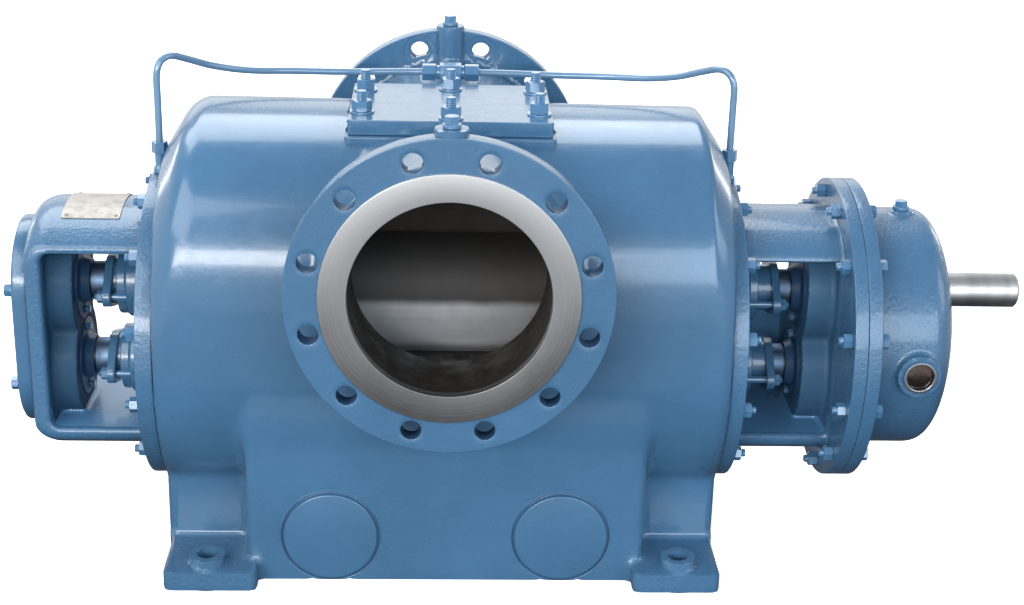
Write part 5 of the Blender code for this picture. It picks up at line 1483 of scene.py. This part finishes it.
class MakePipework(Step, bpy.types.Operator):
    """The tee behind the cover, its nuts, both flush tubes, their fittings and the vent plugs"""

    bl_idname = "pump.make_pipework"
    bl_label = "Flush pipework"

    def make(self, sizes):
        body = drum(-TEE_HALF_WIDTH, TEE_HALF_WIDTH, TEE_RADIUS - 0.002, 0.001)
        block = outline_prism(round_box((-0.0155, TEE_Y - 0.0115), (0.0155, TEE_Y + 0.0115), 0.002),
                              TEE_Z - 0.022, TEE_Z + TEE_RADIUS, 0.0012, "Z")
        ground = NOZZLE_Z + NECK_RADIUS + SEAT_GAP
        foot = TEE_STEM_RADIUS + 0.003
        stem = rounded([(ground, 0), (ground, foot), (ground + 0.004, foot),
                        (ground + 0.004, TEE_STEM_RADIUS), (TEE_Z, TEE_STEM_RADIUS), (TEE_Z, 0)],
                       (0.0006, 0.0006, 0.001, 0))
        shapes = [turned(body, (0, TEE_Y, TEE_Z), ALONG, 48), block,
                  turned(stem, (0, TEE_Y, 0), UPWARD, 36)]
        add_piece("tee_body", joined(shapes), "fastener", replaces="tee_fitting")
        nut = hexagon(TEE_NUT_RADIUS * HEXAGON_FLATS, TEE_NUT_LENGTH)
        for side, sign in SIDES.items():
            place = (sign * (TEE_HALF_WIDTH + SEAT_GAP), TEE_Y, TEE_Z)
            add_fasteners("union_nut_" + side, [placed(nut, place, (sign, 0, 0), 30)],
                          "tee_nut_" + side)
            add_piece("tube_" + side, swept(smooth_route(TUBE_ROUTES[side], 7), TUBE_RADIUS, 20),
                      "tube", replaces="flush_tube_" + side)
            self.fitting(side)
        for name, y in (("front", -GAUGE_BOSS_Y), ("rear", GAUGE_BOSS_Y)):
            add_fasteners("vent_" + name, hexagon_plug(0, y, GAUGE_BOSS_TOP, VENT_TOP),
                          "vent_plug_" + name)

    def fitting(self, side):
        """The stem on the bracket flange's rim and the nut that holds the tube's end."""
        x = FITTING_X[side]
        low, top = AXIS_Z + FLANGE_RIM[side] + SEAT_GAP, FITTING_NUT_LOW + 0.002
        waist = FITTING_RADIUS - 0.0025
        stem = rounded([(low, 0), (low, FITTING_RADIUS), (low + 0.006, FITTING_RADIUS),
                        (low + 0.010, waist), (top, waist), (top, 0)], (0.0006, 0.001, 0.001, 0))
        nut = hexagon(FITTING_NUT_RADIUS * HEXAGON_FLATS, FITTING_NUT_HIGH - FITTING_NUT_LOW)
        add_fasteners("fitting_" + side, [turned(stem, (x, 0, 0), UPWARD, 40),
                                          placed(nut, (x, 0, FITTING_NUT_LOW), UPWARD, 8)],
                      "tube_fitting_" + side)


class MakeShafts(Step, bpy.types.Operator):
    """Both ground shafts and the four bare sleeves on them"""

    bl_idname = "pump.make_shafts"
    bl_label = "Shafts and sleeves"

    def make(self, sizes):
        drive = rounded([(SHAFT_LOW_X, 0), (SHAFT_LOW_X, SHAFT_RADIUS), (SHAFT_STEP_X, SHAFT_RADIUS),
                         (SHAFT_STEP_X, SHAFT_END_RADIUS),
                         (SHAFT_TIP_X - SHAFT_CHAMFER, SHAFT_END_RADIUS),
                         (SHAFT_TIP_X, SHAFT_END_RADIUS - SHAFT_CHAMFER), (SHAFT_TIP_X, 0)],
                        (0.001, 0, 0.0005, 0.0005, 0.0005))
        driven = drum(SHAFT_LOW_X, DRIVEN_HIGH_X, SHAFT_RADIUS, 0.001)
        for name, profile, height in (("drive", drive, DRIVE_Z), ("driven", driven, DRIVEN_Z)):
            body = name + "_rotor"
            add_piece("shaft_" + name, turned(profile, (0, 0, height), ALONG, 72), "shaft",
                      body=body, slot="polished_steel", replaces=name + "_shaft")
            for side, sign in SIDES.items():
                near = BODY_FACE[side] + BOX_LENGTH[side] + SLEEVE_START_GAP
                far = HOUSING_FACE[side] - CAP_PROUD - CAP_NOSE_LENGTH - SLEEVE_END_GAP
                ring = tube_profile(near, far, SHAFT_RADIUS + SEAT_GAP, SLEEVE_RADIUS, 0.0008)
                add_piece("sleeve_%s_%s" % (name, side),
                          turned(ring, (0, 0, height), (sign, 0, 0), 72), "sleeve", body=body,
                          slot="polished_steel", replaces="%s_sleeve_%s" % (name, side))


class MakeNameplate(Step, bpy.types.Operator):
    """The bare nameplate bent over the left bracket's crown, and its rivets"""

    bl_idname = "pump.make_nameplate"
    bl_label = "Nameplate"

    def make(self, sizes):
        half = PLATE_HALF_ANGLE * LANTERN_RADIUS * math.pi / 180
        outline = dense(round_box((PLATE_LOW_X, -half), (PLATE_HIGH_X, half), 0.0025), 0.003)
        add_piece("bare_nameplate", self.bent(outline), "plate", slot="bare_plate",
                  replaces="nameplate")
        dome = rounded([(0, 0), (0, 0.0024), (0.0010, 0.0022), (0.0016, 0.0012), (0.0017, 0)],
                       (0, 0.0006, 0.0006))
        rivet = turned(dome, ORIGIN, UPWARD, 20)
        reach = LANTERN_RADIUS + SEAT_GAP + PLATE_THICKNESS
        shapes = []
        for x in (PLATE_LOW_X + 0.006, PLATE_HIGH_X - 0.006):
            for turn in (-PLATE_HALF_ANGLE + 2.2, PLATE_HALF_ANGLE - 2.2):
                a = math.radians(turn)
                away = (0, math.sin(a), math.cos(a))
                place = (x, away[1] * reach, AXIS_Z + away[2] * reach)
                shapes.append(placed(rivet, place, away))
        add_piece("nameplate_rivets", joined(shapes), "plate", slot="bare_plate")

    def bent(self, outline):
        """A thin plate wrapped onto the crown: at a = across / radius, y and z are an arc's.

        Its rows are the outline drawn in towards its middle, on the outside and then inside.
        """
        inner = LANTERN_RADIUS + SEAT_GAP
        outer = inner + PLATE_THICKNESS
        middle = outline.mean(0)
        shares = (0.0, 0.25, 0.5, 0.75, 0.95)
        levels = [(share, outer) for share in shares] + [(0.995, outer), (1.0, outer - 0.0003)]
        levels += [(1.0, inner)] + [(share, inner) for share in shares[::-1]]
        rows = []
        for share, radius in levels:
            flat = middle + (outline - middle) * share
            a = flat[:, 1] / LANTERN_RADIUS
            rows.append(np.stack([flat[:, 0], radius * np.sin(a), AXIS_Z + radius * np.cos(a)], 1))
        faces = grid_faces(len(rows), len(outline))
        return np.vstack(rows), [face[::-1] for face in faces]


class MakeStage(Step, bpy.types.Operator):
    """The pale floor, the soft lights, and the camera at the photograph's view"""

    bl_idname = "pump.make_stage"
    bl_label = "Stage, lights and camera"

    # Each lamp's name, place, target, width and height, power and colour
    lamps = (("window", (-1.9, -5.2, 1.9), (0.0, 0.0, 0.40), (3.8, 1.0), 190.0, (1.0, 1.0, 1.0)),
             ("far window", (2.3, -5.0, 1.9), (0.0, 0.0, 0.40), (3.6, 2.4), 150.0, (0.74, 0.87, 1.0)),
             ("key", (-2.3, -2.1, 3.1), (-0.1, 0.0, 0.35), (3.2, 2.4), 88.0, (0.94, 0.98, 1.0)),
             ("back", (-0.8, 2.6, 3.7), (0.0, 0.0, 0.40), (4.4, 2.4), 160.0, (0.90, 0.96, 1.0)),
             ("horizon", (0.0, 7.0, 2.4), (0.0, 0.0, 0.50), (8.0, 2.2), 38.0, (0.92, 0.97, 1.0)),
             ("right rim", (3.9, 3.85, 1.15), (0.5, 0.0, 0.35), (0.5, 1.4), 13.0, (1.0, 1.0, 1.0)),
             ("left rim", (-3.9, 3.85, 1.15), (-0.5, 0.0, 0.35), (0.4, 1.4), 13.0, (1.0, 1.0, 1.0)),
             ("right", (3.2, -0.6, 1.8), (0.2, 0.0, 0.35), (1.4, 1.6), 22.0, (0.80, 0.90, 1.0)))
    # Radiance of the room by the sine of a direction's height: below, level and overhead
    room = ((0.0, (0.03, 0.035, 0.05, 1.0)), (0.29, (0.10, 0.11, 0.14, 1.0)),
            (0.36, (0.85, 0.88, 0.93, 1.0)), (0.60, (0.95, 0.98, 1.0, 1.0)),
            (0.85, (0.42, 0.46, 0.52, 1.0)), (1.0, (0.36, 0.40, 0.46, 1.0)))

    def make(self, sizes):
        scene = bpy.context.scene
        grid = np.linspace(-FLOOR_REACH, FLOOR_REACH, 9)
        across, deep = np.meshgrid(grid, grid)
        points = np.stack([across, deep, np.full_like(across, -FLOOR_DROP)], -1).reshape(-1, 3)
        quads = [(i, i + 1, i + 10, i + 9) for i in range(72) if i % 9 < 8]
        data = bpy.data.meshes.new("floor")
        data.from_pydata(points, [], quads)
        data.materials.append(FINISHES["floor"])
        floor = bpy.data.objects.new("floor", data)
        scene.collection.objects.link(floor)
        for lamp in self.lamps:
            self.lamp(scene, *lamp)
        floor.visible_glossy = False
        floor.visible_diffuse = False
        scene.view_settings.view_transform = "Standard"
        scene.world = self.room_light()
        self.camera(scene)

    def room_light(self):
        """A world whose light depends on a direction's height, and falls off to the right."""
        graph = Graph(bpy.data.worlds.new("studio"), "ShaderNodeBackground", "ShaderNodeOutputWorld")
        way = graph.node("ShaderNodeTexCoord", "Generated", {}, {})
        height = graph.node("ShaderNodeMapRange", "Result", {},
                            {"Value": graph.part("Z", way), "From Min": -1.0})
        fall = graph.node("ShaderNodeMapRange", "Result", {},
                          {"Value": graph.part("X", way), "From Max": 0.9, "To Min": 1.0,
                           "To Max": 0.62})
        colour = graph.node("ShaderNodeValToRGB", "Color", {}, {"Fac": height})
        stops = colour.socket.node.color_ramp.elements
        while len(stops) < len(self.room):
            stops.new(1.0)
        for stop, (place, light) in zip(stops, self.room):
            stop.position = place
            stop.color = light
        return graph.feed(Color=colour, Strength=fall)

    def lamp(self, scene, name, place, target, shape, power, colour):
        data = bpy.data.lights.new(name, "AREA")
        data.shape = "RECTANGLE"
        data.size, data.size_y = shape
        data.energy = power
        data.color = colour
        light = bpy.data.objects.new(name, data)
        along, across, up = axes_of(whole(place) - whole(target))
        light.matrix_world = matrix_of(across, up, along, place)
        light.visible_camera = False
        scene.collection.objects.link(light)

    def camera(self, scene):
        data = bpy.data.cameras.new("view")
        data.lens = CAMERA_LENS
        data.sensor_width = 36.0
        data.sensor_fit = "HORIZONTAL"
        data.clip_end = 100.0
        camera = bpy.data.objects.new("view", data)
        back = -whole(CAMERA_FORWARD)
        camera.matrix_world = matrix_of(CAMERA_RIGHT, CAMERA_UP, back, CAMERA_PLACE)
        scene.collection.objects.link(camera)
        scene.camera = camera


def matrix_of(right, up, back, place):
    """An object's matrix from its three axes and its place."""
    table = np.eye(4)
    table[:3, 0], table[:3, 1], table[:3, 2], table[:3, 3] = right, up, back, place
    return mathutils.Matrix(table.tolist())


class PumpPanel(bpy.types.Panel):
    """The sidebar panel with every step and setting"""

    bl_idname = "PUMP_PT_steps"
    bl_label = "Twin screw pump"
    bl_space_type = "VIEW_3D"
    bl_region_type = "UI"
    bl_category = "Pump"

    def draw(self, context):
        for operator in OPERATORS:
            self.layout.operator(operator.bl_idname, text=operator.bl_label)
        for group in (context.scene.pump_sizes, context.scene.pump_colours):
            box = self.layout.box()
            for name in group.__annotations__:
                box.prop(group, name)


OPERATORS = (MakeCasing, MakeBarrel, MakeTopCover, MakeBrackets, MakeFlangeNuts, MakeSeals, MakeCaps,
             MakeGearCover, MakePipework, MakeShafts, MakeNameplate, MakeStage)
CLASSES = (PumpSizes, PumpColours) + OPERATORS + (PumpPanel,)


def register():
    for kind in CLASSES:
        bpy.utils.register_class(kind)
    bpy.types.Scene.pump_sizes = bpy.props.PointerProperty(type=PumpSizes)
    bpy.types.Scene.pump_colours = bpy.props.PointerProperty(type=PumpColours)


def unregister():
    del bpy.types.Scene.pump_colours
    del bpy.types.Scene.pump_sizes
    for kind in reversed(CLASSES):
        bpy.utils.unregister_class(kind)


def main():
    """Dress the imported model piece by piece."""
    register()
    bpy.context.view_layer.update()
    for operator in OPERATORS:
        group, name = operator.bl_idname.split(".")
        getattr(getattr(bpy.ops, group), name)()


if __name__ == "__main__":
    main()
